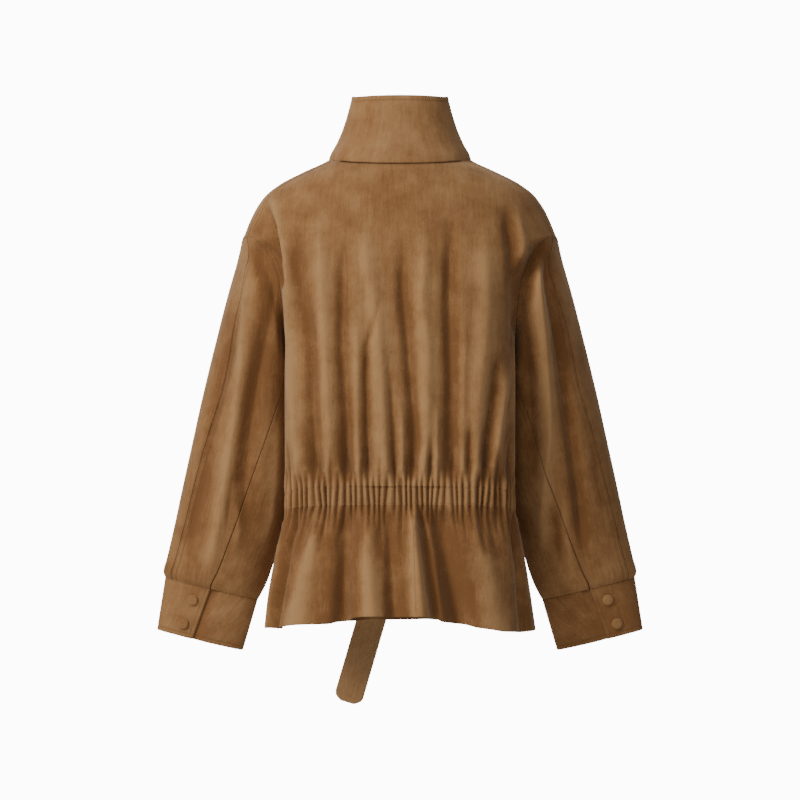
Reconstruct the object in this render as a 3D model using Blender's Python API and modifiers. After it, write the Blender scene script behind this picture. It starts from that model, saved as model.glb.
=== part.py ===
"""Suede jacket in its worn, hollow form: a gathered back waist, peplum, stand collar and tie belt.

The wearer faces -Y, +Z is up and the wearer's left is +X. The origin is the middle of the neck seam,
where the garment hangs on the shoulders. Sizes are in metres and angles in radians unless named otherwise.

Every cloth piece is a wall between an outer and an inner sheet of points. The torso pieces share one
smooth torso surface, torso_point(angle, z), where angle 0 is the wearer's left side, pi/2 the centre
back and -pi/2 the centre front. Each sleeve is a tube, sleeve_point(turn, run), from armhole to cuff.
"""

import bisect
import math

import bmesh
import bpy
from mathutils import Vector

OBJECT_NAME = "suede_jacket"

# Cloth
CLOTH = 0.0016  # one layer of bonded suede cloth
DOUBLE_CLOTH = 0.0024  # two layers and interlining: collar, cuffs, waistbands, belt
CASING_CLOTH = 0.0030  # two layers with elastic between them
SEAM_GAP = 0.0003  # between the edges of neighbouring pieces
LAYER_GAP = 0.0006  # between cloth that lies on cloth

# Torso sections, from the neck seam down
TORSO_COLUMNS = ("z", "half_width", "tip_gain", "side_y", "back_y", "front_y", "back_power", "front_power")
TORSO_SECTIONS = (
    (0.0150, 0.0850, 0.0000, -0.012, 0.048, -0.056, 2.0, 2.0),
    (0.0000, 0.1010, 0.0000, -0.010, 0.060, -0.064, 2.0, 2.0),
    (-0.0168, 0.1355, 0.0000, -0.008, 0.075, -0.074, 2.0, 2.0),
    (-0.0336, 0.1677, 0.0000, -0.006, 0.087, -0.084, 2.0, 2.0),
    (-0.0504, 0.1880, 0.0010, -0.005, 0.096, -0.092, 2.0, 2.0),
    (-0.0756, 0.2020, 0.0035, -0.004, 0.105, -0.103, 2.06, 2.02),
    (-0.1008, 0.2090, 0.0070, -0.002, 0.1115, -0.110, 2.14, 2.05),
    (-0.1150, 0.2105, 0.0110, 0.000, 0.1143, -0.114, 2.22, 2.08),
    (-0.1300, 0.2085, 0.0110, 0.002, 0.1166, -0.117, 2.32, 2.11),
    (-0.1480, 0.2020, 0.0060, 0.005, 0.1187, -0.120, 2.46, 2.15),
    (-0.1700, 0.1905, 0.0000, 0.008, 0.1202, -0.122, 2.66, 2.19),
    (-0.1960, 0.1770, 0.0000, 0.012, 0.121, -0.123, 2.9, 2.2),
    (-0.2250, 0.1660, 0.0000, 0.020, 0.121, -0.123, 3.1, 2.2),
    (-0.2620, 0.1590, 0.0000, 0.034, 0.120, -0.121, 3.3, 2.1),
    (-0.3000, 0.1595, 0.0000, 0.044, 0.118, -0.118, 3.2, 2.0),
    (-0.3400, 0.1595, 0.0000, 0.046, 0.114, -0.114, 3.1, 2.0),
    (-0.4000, 0.1595, 0.0000, 0.042, 0.108, -0.108, 3.0, 2.0),
    (-0.4540, 0.1600, 0.0000, 0.034, 0.103, -0.104, 2.8, 2.1),
    (-0.4900, 0.1610, 0.0000, 0.028, 0.102, -0.104, 2.6, 2.2),
    (-0.5300, 0.1690, 0.0000, 0.022, 0.108, -0.109, 2.5, 2.2),
    (-0.5800, 0.1780, 0.0000, 0.018, 0.116, -0.117, 2.4, 2.2),
    (-0.6600, 0.1900, 0.0000, 0.014, 0.124, -0.127, 2.4, 2.2),
)
TIP_SHARPNESS = 10  # the shoulder point alone reaches out by the tip gain
SEAM_SET_BACK = 0.028  # the shoulder seam lies this far behind the shoulder's ridge
NECK_FRONT_DROP = 0.045  # the neck seam's dip at the centre front
NECK_BACK_DROP = 0.0103  # and at the centre back
NECK_DIP_START = 0.40  # share of the way to the front where the neck seam starts to dip
NECK_DIP_FOOT = -0.160  # the fronts' rows run level below this
ARMHOLE_MID_Z = -0.1855
ARMHOLE_HALF_HEIGHT = 0.0765
ARMHOLE_HALF_DEPTH = 0.062
UNDERARM_FORWARD = 0.020  # the armhole's lowest point lies this far in front of the widest one
ARMHOLE_BACK_TURNS = (24, 46, 68, 90, 112, 134, 156, 180)  # degrees round the armhole from its top
ARMHOLE_FRONT_TURNS = (-20, -40, -60, -80, -100, -124, -150, -180)
ARMHOLE_GAP = 0.00045
ARMHOLE_TOP_Z = ARMHOLE_MID_Z + ARMHOLE_HALF_HEIGHT
UNDERARM_Z = ARMHOLE_MID_Z - ARMHOLE_HALF_HEIGHT
SIDE_SEAM_COLUMNS = ("z", "offset")  # in front of the section's widest point
SIDE_SEAM = (
    (UNDERARM_Z, -UNDERARM_FORWARD), (-0.300, -0.036), (-0.340, -0.044), (-0.490, -0.032), (-0.660, -0.026),
)

# Waist casing
CASING_TOP_MID = -0.4536
CASING_TOP_SIDE = -0.4704
CASING_FOOT_MID = -0.4795
CASING_FOOT_SIDE = -0.4935
CASING_SWELL = 0.0028  # the elastic band stands proud of its stitch lines
WAIST_FRONT_DROP = 0.002  # the front waistband's foot dips by this at the centre
GATHERS = 52  # from side seam to side seam
GATHER_HEIGHT = 0.0026
GATHER_FADE_UP = 0.050
GATHER_INSIDE = 0.55  # the inner face follows the gathers by this share
GATHER_SHIFTS = ((0.20, 2.4, 0.0), (0.12, 1.1, 0.6))  # share of the spacing, phase a step, first phase
GATHER_HEIGHTS = (0.80, 0.25, 1.7)  # steady share, varying share, phase a step

# How the vertical folds grow and end
FOLD_GROWTH = 0.100  # a fold takes half its height within this drop
FOLD_DRIFT_TOP = -0.200  # below this a fold moves over from its top place to its waist place
FOLD_KEPT_AT_WAIST = 0.35  # the folds break up into gathers
FOLD_KEPT_IN_BAND = 0.35
FOLD_KEPT_IN_FRONT = 0.25
FOLD_END_DROP = 0.30  # share of the peplum's drop where the back's folds end
FOLD_CALM_RISE = 0.030  # over this height above the casing
FRONT_FOLD_FOOT = -0.420
EDGE_FLAT = 0.85  # folds lie within this share of the half width, or well behind the widest point
CORNER_REACH = (0.020, 0.050)  # behind the widest point

# Vertical folds of the back, measured along the cloth from the centre back
# Each row: place at the top, place at the waist, height where it starts, width, height
BACK_FOLDS = (
    (0.152, 0.148, -0.110, 0.0120, 0.0095),
    (0.101, 0.095, -0.180, 0.0115, 0.0080),
    (0.062, 0.053, -0.250, 0.0085, 0.0064),
    (0.034, 0.025, -0.170, 0.0115, 0.0086),
    (0.006, -0.004, -0.310, 0.0080, 0.0058),
    (-0.041, -0.037, -0.150, 0.0125, 0.0088),
    (-0.074, -0.060, -0.300, 0.0080, 0.0056),
    (-0.124, -0.108, -0.150, 0.0130, 0.0092),
    (-0.158, -0.150, -0.110, 0.0110, 0.0084),
    (0.128, 0.121, -0.190, 0.0090, -0.0066),
    (0.079, 0.075, -0.220, 0.0090, -0.0050),
    (-0.006, -0.022, -0.170, 0.0100, -0.0066),
    (-0.070, -0.078, -0.180, 0.0105, -0.0072),
    (-0.142, -0.130, -0.190, 0.0080, -0.0062),
)
# Vertical folds of each front, measured from the centre front towards the side seam
FRONT_FOLDS = (
    (0.060, 0.052, -0.240, 0.0150, 0.0040),
    (0.084, 0.073, -0.220, 0.0120, -0.0030),
    (0.108, 0.095, -0.180, 0.0150, 0.0050),
    (0.150, 0.138, -0.280, 0.0150, 0.0045),
)

# Flutes of the peplum, measured from the centre back
# Each row: place under the waist, place at the hem, width at each, height
BACK_FLUTES = (
    (0.165, 0.186, 0.010, 0.014, 0.0078),
    (0.145, 0.160, 0.009, 0.012, -0.0104),
    (0.110, 0.123, 0.012, 0.020, 0.0117),
    (0.070, 0.083, 0.010, 0.014, -0.0143),
    (0.024, 0.040, 0.012, 0.020, 0.0156),
    (0.004, 0.006, 0.007, 0.009, -0.0052),
    (-0.014, -0.030, 0.012, 0.020, 0.0169),
    (-0.050, -0.070, 0.013, 0.015, -0.0169),
    (-0.085, -0.092, 0.008, 0.010, -0.0078),
    (-0.105, -0.122, 0.012, 0.019, 0.0117),
    (-0.145, -0.158, 0.010, 0.014, -0.0091),
    (-0.165, -0.186, 0.011, 0.013, 0.0078),
)
FRONT_FLUTES = (
    (0.030, 0.036, 0.012, 0.018, 0.0040),
    (0.060, 0.072, 0.012, 0.018, -0.0060),
    (0.092, 0.108, 0.013, 0.020, 0.0070),
    (0.120, 0.143, 0.012, 0.016, -0.0060),
    (0.150, 0.174, 0.012, 0.016, 0.0050),
)
FLUTE_AT_WAIST = 0.25  # share of a flute's height just under the waist
FLUTE_START = (-0.15, 0.20)  # shares of the peplum's drop over which the back's flutes begin
FRONT_FLUTE_START = (0.0, 0.30)
FLUTE_EDGE = (0.235, 0.205)  # the flutes die away towards the side seams
HEM_REACH = 0.260
SIDE_HEM_Z = -0.6560
FRONT_HEM_Z = -0.6520
HEM_COLUMNS = ("across", "z")  # the back hem's height, measured from the centre back
BACK_HEM = (
    (-HEM_REACH, SIDE_HEM_Z), (-0.190, -0.6586), (-0.154, -0.6600), (-0.125, -0.6580), (-0.088, -0.6482),
    (-0.060, -0.6440), (-0.052, -0.6390), (0.050, -0.6386), (0.070, -0.6434), (0.088, -0.6460),
    (0.106, -0.6496), (0.134, -0.6503), (0.190, -0.6538), (HEM_REACH, SIDE_HEM_Z),
)
CENTRE_BACK_SEAM = -0.022  # drawn aside by the centre flute
PEPLUM_BACK_LENGTH = 0.50  # from side seam to side seam
CENTRE_BACK_SHARE = 0.5 - CENTRE_BACK_SEAM / PEPLUM_BACK_LENGTH
PEPLUM_ROWS = (  # share of the drop, strength of the gathers
    (0.0, 1.0), (0.10, 0.6), (0.24, 0.0), (0.42, 0.0), (0.62, 0.0), (0.82, 0.0), (1.0, 0.0),
)
PEPLUM_FRONT_ROWS = (0.0, 0.2, 0.45, 0.72, 1.0)

# Fronts
LAP = 0.0175  # each front passes the centre line by this much
LAP_EASE = 0.022  # the under layer dips over this distance
LAP_FLAT = 0.002  # and lies flat from here inwards

# Collar, from the neck seam up
COLLAR_COLUMNS = ("share", "half_width")  # share of the height
COLLAR_TOP_BACK_Z = 0.0870
COLLAR_TOP_FRONT_Z = 0.0905
COLLAR_HALF_WIDTHS = (
    (0.00, 0.1010), (0.10, 0.0985), (0.30, 0.0885), (0.50, 0.0805), (0.70, 0.0745), (0.90, 0.0695),
    (1.00, 0.0675),
)
COLLAR_TOP_BACK_Y = 0.046
COLLAR_TOP_FRONT_Y = -0.058
COLLAR_FRONT_BACK = (-0.2, 0.6)  # the top edge steps from its front to its back height between these
COLLAR_LEAN = 0.25  # how far the wall faces up
COLLAR_ROWS = (1.0, 0.90, 0.64, 0.36, 0.12, 0.0)
NECK_GAP = 0.0009

# Sleeves, the wearer's left one; run 0 is the armhole and run 1 the cuff seam
SLEEVE_COLUMNS = ("run", "outer_x", "outer_z", "inner_x", "inner_z", "mid_y", "half_depth")
SLEEVE_SECTIONS = (
    (0.00, 0.2215, -0.1150, 0.1580, -0.2620, 0.010, 0.062),
    (0.06, 0.2290, -0.1400, 0.1582, -0.2780, -0.001, 0.067),
    (0.14, 0.2395, -0.1760, 0.1550, -0.3050, -0.013, 0.069),
    (0.24, 0.2520, -0.2250, 0.1535, -0.3440, -0.024, 0.068),
    (0.36, 0.2670, -0.2830, 0.1525, -0.3880, -0.032, 0.065),
    (0.48, 0.2810, -0.3400, 0.1532, -0.4310, -0.038, 0.061),
    (0.60, 0.2940, -0.3980, 0.1570, -0.4740, -0.042, 0.057),
    (0.72, 0.3070, -0.4560, 0.1650, -0.5170, -0.045, 0.051),
    (0.84, 0.3195, -0.5140, 0.1770, -0.5600, -0.047, 0.044),
    (0.93, 0.3300, -0.5590, 0.1880, -0.5930, -0.048, 0.037),
    (0.98, 0.3350, -0.5790, 0.1975, -0.6120, -0.048, 0.031),
    (1.00, 0.3325, -0.5870, 0.2013, -0.6185, -0.048, 0.026),
)
ARMHOLE_BLEND = 0.26  # the sleeve takes its own section within this run
SLEEVE_SEAM_GAP = 0.0004
SLEEVE_SEAM_COLUMNS = ("run", "over", "elbow", "fore")  # degrees round the sleeve, 90 at its back
SLEEVE_SEAMS = (
    (0.00, 0.0, 165.0, 235.0),
    (0.07, 33.0, 158.0, 234.0),
    (0.16, 47.0, 149.0, 232.0),
    (0.36, 50.0, 124.0, 229.0),
    (0.60, 41.0, 106.0, 226.0),
    (1.00, 34.0, 90.0, 222.0),
)
# Sleeve folds, each row: turn at its top, turn at its foot, run at each, width, height; turns in degrees
LEFT_SLEEVE_FOLDS = (
    (76.0, 76.0, 0.10, 0.85, 15.0, 0.0060),
    (100.0, 92.0, 0.10, 0.70, 12.0, -0.0035),
    (128.0, 118.0, 0.22, 0.95, 13.0, 0.0035),
    (20.0, 24.0, 0.30, 0.92, 14.0, 0.0030),
    (300.0, 285.0, 0.15, 0.80, 16.0, 0.0050),
    (262.0, 256.0, 0.25, 0.75, 12.0, -0.0035),
    (325.0, 330.0, 0.40, 0.95, 14.0, 0.0030),
)
SLEEVE_FOLD_EASE = (0.06, 0.14)  # runs before and after a fold's end
RIGHT_SLEEVE_FOLDS = (
    (86.0, 92.0, 0.06, 0.80, 11.0, -0.0050),
    (110.0, 112.0, 0.12, 0.85, 14.0, 0.0050),
    (64.0, 64.0, 0.12, 0.90, 14.0, 0.0040),
    (18.0, 26.0, 0.35, 0.92, 14.0, 0.0030),
    (290.0, 296.0, 0.12, 0.78, 16.0, 0.0050),
    (255.0, 262.0, 0.25, 0.80, 12.0, -0.0035),
    (332.0, 322.0, 0.45, 0.95, 14.0, 0.0030),
)

# Cuffs, the wearer's left one
CUFF_FOOT_MID = (0.2832, -0.6755)
CUFF_FOOT_HALF = (0.0609, 0.0147)
CUFF_FOOT_HALF_DEPTH = 0.020
CUFF_SLIT_TOP = 90.0  # degrees round the cuff
CUFF_SLIT_FOOT = 81.0
CUFF_LAP = 34.0
CUFF_LAP_EASE = (-16.0, -2.0)
CUFF_SEAM_GAP = 0.00036

# Covered snaps
SNAP_RADIUS = 0.0076
SNAP_HEIGHT = 0.0034
SNAP_SEAT = 0.0007  # above the smooth cloth, clear of the facets
SNAP_PROFILE = ((0.0, 1.0), (0.50, 0.92), (0.84, 0.62), (1.0, 0.22), (0.94, 0.0), (0.0, 0.0))
SNAP_SIDES = 12
# Each row: degrees round the cuff, share of its height down
CUFF_SNAPS = ((71.0, 0.27), (65.0, 0.75))
FRONT_SNAP_HEIGHTS = (-0.085, -0.160, -0.235, -0.310, -0.385, -0.575)

# Belt
BELT_WIDTH = 0.042
BELT_STAND_OFF = 0.0048  # its outer face, over the front waistband
BELT_SEWN_OFF = DOUBLE_CLOTH + 0.0008  # and where it is sewn in at the side seam
BELT_MID_SIDE_Z = -0.4820
BELT_MID_FRONT_Z = -0.4860
BELT_CELLS = 22
BELT_CROWN = 0.001  # the band stands fuller along its middle
KNOT_SIZE = (0.050, 0.026, 0.050)
KNOT_TOP_WIDTH = 1.12
KNOT_FOOT_WIDTH = 0.84
KNOT_ROUNDING = 0.011
KNOT_STAND_OFF = BELT_STAND_OFF + BELT_CROWN + LAYER_GAP + KNOT_SIZE[1] / 2  # its middle
BELT_STOP = 0.0060  # the bands end behind the knot, this far from the centre
TAIL_START_DROP = KNOT_SIZE[2] / 2 + LAYER_GAP  # the tails leave the knot at its foot
TAIL_PLACES = (-0.5, -0.27, 0.0, 0.27, 0.5)
TAIL_STEPS = 9
TAIL_TOP_WIDTH = 0.62
TAIL_SPREAD = 0.30  # the tail reaches its full width within this share
TAIL_CORNER = 0.006
TAIL_END_WIDTH = 0.90
TAIL_BOW = 0.0035
TAIL_BOW_REACH = 0.7  # share of the tail that bows
TAIL_RIPPLE = 0.0015
TAIL_RIPPLE_TURN = 5.0
TAIL_TWIST = 0.004
# Each row: label, the foot's x and z, stand-off at the knot and below it, lean
TAILS = (
    ("left", 0.0765, -0.7730, 0.0160, 0.0105, 0.6),
    ("right", -0.0480, -0.6250, 0.0205, 0.0165, -0.5),
)

# Rows of the bodice's grid
FRONT_ROW_STEP = 0.0118  # between the upper rows at the centre front
SHOULDER_LEVELS = (-0.0180, -0.0340, -0.0520, -0.0756, -0.1008)
SIDE_LEVELS = (-0.300, -0.340, -0.377, -0.412)
SIDE_LEVEL_RISE = 0.002  # the back's rows start to arch towards the casing
WAIST_RISES = (0.026, 0.009, 0.0)

# Grid counts
BACK_EDGE_COLUMNS = 4  # outside the outermost folds
BACK_LEAST_LENGTH = 0.36  # a shorter row draws its places together
FRONT_COLUMNS = 12
PEPLUM_COLUMNS = 22
PEPLUM_FRONT_COLUMNS = 16
COLLAR_CELLS = 34
CUFF_CELLS = 26
CUFF_ROWS = (0.0, 0.5, 1.0)
CASING_ROWS = (0.0, 0.5, 1.0)
SLEEVE_PANELS = {"back": ("over", "elbow"), "under": ("elbow", "fore"), "front": ("fore", "over")}
SLEEVE_PANEL_COLUMNS = {"back": 9, "under": 8, "front": 10}
SLEEVE_RUNS = (0.0, 0.035, 0.08, 0.15, 0.24, 0.34, 0.45, 0.56, 0.67, 0.78, 0.88, 0.95, 1.0)
TRACE_STEPS = 160
NORMAL_STEP = 0.0002
TURN_STEP = 0.004
ARMHOLE_STEP = 0.02  # of the run, to see which way the sleeve leaves the armhole
ARMHOLE_MATCH = (0.02, 0.98)  # a torso row this near a panel's edge is taken as the edge

# Finish
MATTE = 0.92
SHARP_DEGREES = 40
MERGE_DISTANCE = 0.0001

# Colours, linear
SUEDE_BODY = (0.235, 0.118, 0.042, 1.0)
SUEDE_LIGHT = (0.290, 0.155, 0.062, 1.0)
SUEDE_DARK = (0.190, 0.092, 0.032, 1.0)


class Table:
    """Smooth curves through a short table whose first column drives the others."""

    def __init__(self, columns, rows):
        rows = sorted(rows)
        self.keys = [row[0] for row in rows]
        self.values = {name: [row[i] for row in rows] for i, name in enumerate(columns) if i}
        self.slopes = {name: self._slopes(values) for name, values in self.values.items()}

    def _slopes(self, values):
        """Slopes that keep each curve between its neighbouring rows."""
        steps = [b - a for a, b in zip(self.keys, self.keys[1:])]
        rises = [(b - a) / step for a, b, step in zip(values, values[1:], steps)]
        slopes = [rises[0]]
        for before, after in zip(rises, rises[1:]):
            flat = before * after <= 0
            slopes.append(0.0 if flat else 2 * before * after / (before + after))
        return slopes + [rises[-1]]

    def at(self, key, name):
        keys = self.keys
        if key <= keys[0]:
            return self.values[name][0]
        if key >= keys[-1]:
            return self.values[name][-1]
        i = bisect.bisect_right(keys, key) - 1
        step = keys[i + 1] - keys[i]
        t = (key - keys[i]) / step
        a, b = self.values[name][i : i + 2]
        slope_a, slope_b = (slope * step for slope in self.slopes[name][i : i + 2])
        curve = a * (1 + 2 * t) * (1 - t) ** 2 + b * t**2 * (3 - 2 * t)
        return curve + slope_a * t * (1 - t) ** 2 - slope_b * t**2 * (1 - t)


torso = Table(TORSO_COLUMNS, TORSO_SECTIONS)
side_seam = Table(SIDE_SEAM_COLUMNS, SIDE_SEAM)
back_hem = Table(HEM_COLUMNS, BACK_HEM)
collar_width = Table(COLLAR_COLUMNS, COLLAR_HALF_WIDTHS)
sleeve = Table(SLEEVE_COLUMNS, SLEEVE_SECTIONS)
sleeve_seam = Table(SLEEVE_SEAM_COLUMNS, SLEEVE_SEAMS)


def smooth(value, low, high):
    """0 at low, 1 at high and a smooth step between; low may be the larger."""
    t = min(max((value - low) / (high - low), 0.0), 1.0)
    return t * t * (3 - 2 * t)


def mix(a, b, t):
    return a + (b - a) * t


def bump(value, centre, width):
    return math.exp(-(((value - centre) / width) ** 2))


def signed_power(value, power):
    return math.copysign(abs(value) ** power, value)


# ---- The torso surface ----


def torso_point(angle, z):
    """A point of the smooth torso: 0 is the wearer's left, pi/2 the centre back."""
    across = math.cos(angle)
    along = math.sin(angle)
    half = "back" if along >= 0 else "front"
    power = 2 / torso.at(z, half + "_power")
    side_y = torso.at(z, "side_y")
    depth = abs(torso.at(z, half + "_y") - side_y)
    x = torso.at(z, "half_width") * signed_power(across, power)
    x += math.copysign(torso.at(z, "tip_gain") * abs(across) ** TIP_SHARPNESS, across)
    return Vector((x, side_y + depth * signed_power(along, power), z))


def torso_field(point):
    """Less than 1 inside the smooth torso and more outside it."""
    x, y, z = point
    side_y = torso.at(z, "side_y")
    half = "back" if y >= side_y else "front"
    power = torso.at(z, half + "_power")
    depth = abs(torso.at(z, half + "_y") - side_y)
    return abs(x / torso.at(z, "half_width")) ** power + abs((y - side_y) / depth) ** power


def torso_normal(point):
    step = NORMAL_STEP
    axes = (Vector((step, 0, 0)), Vector((0, step, 0)), Vector((0, 0, step)))
    return Vector([torso_field(point + axis) - torso_field(point - axis) for axis in axes]).normalized()


def angle_at(z, offset):
    """The angle on the left side where the torso lies offset behind its widest point."""
    half = "back" if offset >= 0 else "front"
    depth = abs(torso.at(z, half + "_y") - torso.at(z, "side_y"))
    return math.copysign(math.asin((abs(offset) / depth) ** (torso.at(z, half + "_power") / 2)), offset)


def front_angle(z, x):
    """The angle in front at this x, for a left piece; a negative x is past the centre front."""
    share = (abs(x) / torso.at(z, "half_width")) ** (torso.at(z, "front_power") / 2)
    return -math.pi / 2 + math.copysign(math.asin(share), x)


def armhole_edge(turn):
    """Angle and height on the torso of the left armhole; turn 0 is its top, set back, and pi/2 its back."""
    top_share = (1 + math.cos(turn)) / 2
    z = mix(UNDERARM_Z, ARMHOLE_TOP_Z, top_share)
    offset = mix(-UNDERARM_FORWARD, SEAM_SET_BACK, top_share) + ARMHOLE_HALF_DEPTH * math.sin(turn)
    return angle_at(z, offset), z


def armhole_turn(z):
    """The turn of the armhole's back half at this height."""
    share = (z - ARMHOLE_MID_Z) / ARMHOLE_HALF_HEIGHT
    return math.acos(min(max(share, -1.0), 1.0))


def front_row_z(share, start_z, front_z, late=1.0):
    """The height of a front's row, this share of the way from its outer edge to its lap."""
    return mix(start_z, front_z, smooth(share, NECK_DIP_START * late, 1.0))


def neck_edge(angle):
    """The neck seam's point at this left-side angle, from pi/2 at the back to past -pi/2 in front."""
    seam = angle_at(0.0, SEAM_SET_BACK)
    if angle >= seam:
        share = (math.pi / 2 - angle) / (math.pi / 2 - seam)
        return torso_point(angle, mix(-NECK_BACK_DROP, 0.0, share**2))
    share = (seam - angle) / (seam - neck_end_angle())
    return torso_point(angle, front_row_z(share, 0.0, -NECK_FRONT_DROP))


def neck_end_angle():
    return front_angle(-NECK_FRONT_DROP, -LAP)


def side_edge(z):
    """Angle of the left side seam, or of the back's armhole or shoulder edge above it."""
    if z >= ARMHOLE_TOP_Z:
        return angle_at(z, SEAM_SET_BACK)
    if z > UNDERARM_Z:
        return armhole_edge(armhole_turn(z))[0]
    return angle_at(z, side_seam.at(z, "offset"))


def trace(path):
    """The cloth length along a path of (angle, z), and a function that spaces fractions evenly on it."""
    points = [torso_point(*path(i / TRACE_STEPS)) for i in range(TRACE_STEPS + 1)]
    lengths = [0.0]
    for a, b in zip(points, points[1:]):
        lengths.append(lengths[-1] + (b - a).length)

    def share_at(fraction):
        wanted = mix(SEAM_GAP / 2, lengths[-1] - SEAM_GAP / 2, fraction)
        i = min(max(bisect.bisect_right(lengths, wanted) - 1, 0), TRACE_STEPS - 1)
        return (i + (wanted - lengths[i]) / (lengths[i + 1] - lengths[i])) / TRACE_STEPS

    return lengths[-1], share_at


def torso_row(path, fractions, thickness, raised, measure_from=0.5, mirrored=False):
    """One row of a torso piece, as (fraction, outer point, inner point).

    raised(length, z, point) is how far the cloth stands off the smooth torso; length is measured along
    the cloth from the share of the row that measure_from names, positive towards the row's start.
    """
    total, share_at = trace(path)
    row = []
    for fraction in fractions:
        point = torso_point(*path(share_at(fraction)))
        normal = torso_normal(point)
        lift = raised((measure_from - fraction) * total, point.z, point)
        outer = point + normal * lift
        inner = point + normal * (lift - thickness)
        if mirrored:
            outer.x, inner.x = -outer.x, -inner.x
        row.append((fraction, outer, inner))
    return row


def even(cells):
    return [i / cells for i in range(cells + 1)]


# ---- Folds ----


def fold_lift(folds, length, z, foot_z):
    """How far the vertical folds raise or sink the cloth at this place."""
    calm = mix(FOLD_KEPT_AT_WAIST, 1.0, smooth(z, foot_z, foot_z + FOLD_CALM_RISE))
    lift = 0.0
    for top, waist, start_z, width, height in folds:
        half_grown_z = start_z - FOLD_GROWTH
        grown = (smooth(z, start_z, half_grown_z) + smooth(z, half_grown_z, foot_z)) / 2
        centre = mix(top, waist, smooth(z, FOLD_DRIFT_TOP, foot_z))
        lift += height * grown * calm * bump(length, centre, width)
    return lift


def fold_places(total, z):
    """Fractions across the back of each fold's middle and of a place between each two folds."""
    drift = smooth(z, FOLD_DRIFT_TOP, CASING_TOP_SIDE)
    reach = max(total, BACK_LEAST_LENGTH)
    middles = sorted(0.5 - mix(top, waist, drift) / reach for top, waist, *_ in BACK_FOLDS)
    between = [(a + b) / 2 for a, b in zip(middles, middles[1:])]
    left = [middles[0] * share for share in even(BACK_EDGE_COLUMNS)[:-1]]
    right = [mix(1.0, middles[-1], share) for share in even(BACK_EDGE_COLUMNS)[:-1]]
    return sorted(left + middles + between + right)


def gather_places():
    """Fractions across the back where a gather's crest or trough lies, unevenly spaced."""
    count = 2 * GATHERS
    places = []
    for i in range(count + 1):
        uneven = sum(share * math.sin(phase * i + first) for share, phase, first in GATHER_SHIFTS)
        inside = min(i, count - i, 1)
        places.append((i + uneven * inside) / count)
    return places


def gather_lift(index, strength):
    """The crest or trough height of one gather point."""
    sign = 1.0 if index % 2 else -1.0
    steady, varying, phase = GATHER_HEIGHTS
    return sign * GATHER_HEIGHT * strength * (steady + varying * math.sin(phase * index))


def flute_lift(flutes, length, down):
    """The peplum's waves: narrow under the waist and full at the hem."""
    lift = 0.0
    for top, hem, top_width, hem_width, height in flutes:
        grown = mix(FLUTE_AT_WAIST, 1.0, down)
        lift += height * grown * bump(length, mix(top, hem, down), mix(top_width, hem_width, down))
    return lift


def lap_dip(side, x, depth):
    """How far the left layer lies under the right one, near the centre front."""
    return depth * smooth(x, LAP + LAP_EASE, LAP + LAP_FLAT) if side > 0 else 0.0


def off_side(z, x):
    """1 over a front and 0 at its side seam, where the pieces meet unraised."""
    half_width = torso.at(z, "half_width")
    return smooth(x, half_width * (1 - (1 - EDGE_FLAT) / 8), half_width * EDGE_FLAT)


def off_lap(x):
    """1 over a front and 0 over its lap, where two layers lie flat on each other."""
    return smooth(x, LAP + LAP_FLAT, LAP + LAP_EASE)


# ---- Meshes ----


def suede(name, colour):
    material = bpy.data.materials.new(name)
    material.use_nodes = True
    shader = material.node_tree.nodes["Principled BSDF"]
    shader.inputs["Base Color"].default_value = colour
    shader.inputs["Roughness"].default_value = MATTE
    shader.inputs["Metallic"].default_value = 0.0
    material.diffuse_color = colour
    return material


def bridge(bm, upper, lower):
    """Join two rows of (fraction, vertex), with triangles where their counts differ."""
    if len(upper) == len(lower):
        for (a, b), (d, c) in zip(zip(upper, upper[1:]), zip(lower, lower[1:])):
            bm.faces.new((a[1], b[1], c[1], d[1]))
        return
    i = j = 0
    while i < len(upper) - 1 or j < len(lower) - 1:
        at_upper = i < len(upper) - 1
        at_lower = j < len(lower) - 1
        if at_upper and (not at_lower or upper[i + 1][0] <= lower[j + 1][0]):
            bm.faces.new((upper[i][1], upper[i + 1][1], lower[j][1]))
            i += 1
        else:
            bm.faces.new((upper[i][1], lower[j + 1][1], lower[j][1]))
            j += 1


def finish_mesh(name, bm, material):
    bmesh.ops.recalc_face_normals(bm, faces=bm.faces[:])
    mesh = bpy.data.meshes.new(name)
    bm.to_mesh(mesh)
    bm.free()
    mesh.materials.append(material)
    mesh.shade_smooth()
    mesh.set_sharp_from_angle(angle=math.radians(SHARP_DEGREES))
    piece = bpy.data.objects.new(name, mesh)
    collection.objects.link(piece)
    return piece


def cloth_wall(name, rows, material):
    """A closed wall of cloth from rows of (fraction, outer point, inner point)."""
    bm = bmesh.new()
    outer = [[(item[0], bm.verts.new(item[1])) for item in row] for row in rows]
    inner = [[(item[0], bm.verts.new(item[2])) for item in row] for row in rows]
    for upper, lower in zip(outer, outer[1:]):
        bridge(bm, upper, lower)
    for upper, lower in zip(inner, inner[1:]):
        bridge(bm, lower, upper)
    for k in (0, -1):
        bridge(bm, outer[k], inner[k])
        ends = [(i, row[k][1]) for i, row in enumerate(outer)]
        bridge(bm, ends, [(i, row[k][1]) for i, row in enumerate(inner)])
    return finish_mesh(name, bm, material)


# ---- Bodice ----


def arched(middle, side, fraction):
    """A height that arches from one side seam over the centre back to the other."""
    return mix(middle, side, (2 * fraction - 1) ** 2)


def back_path(z_mid, z_side):
    """A row across the back, from the left edge to the right one."""

    def path(t):
        z = arched(z_mid, z_side, t)
        edge = side_edge(z_side)
        return mix(edge, math.pi - edge, t), z

    return path


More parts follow.
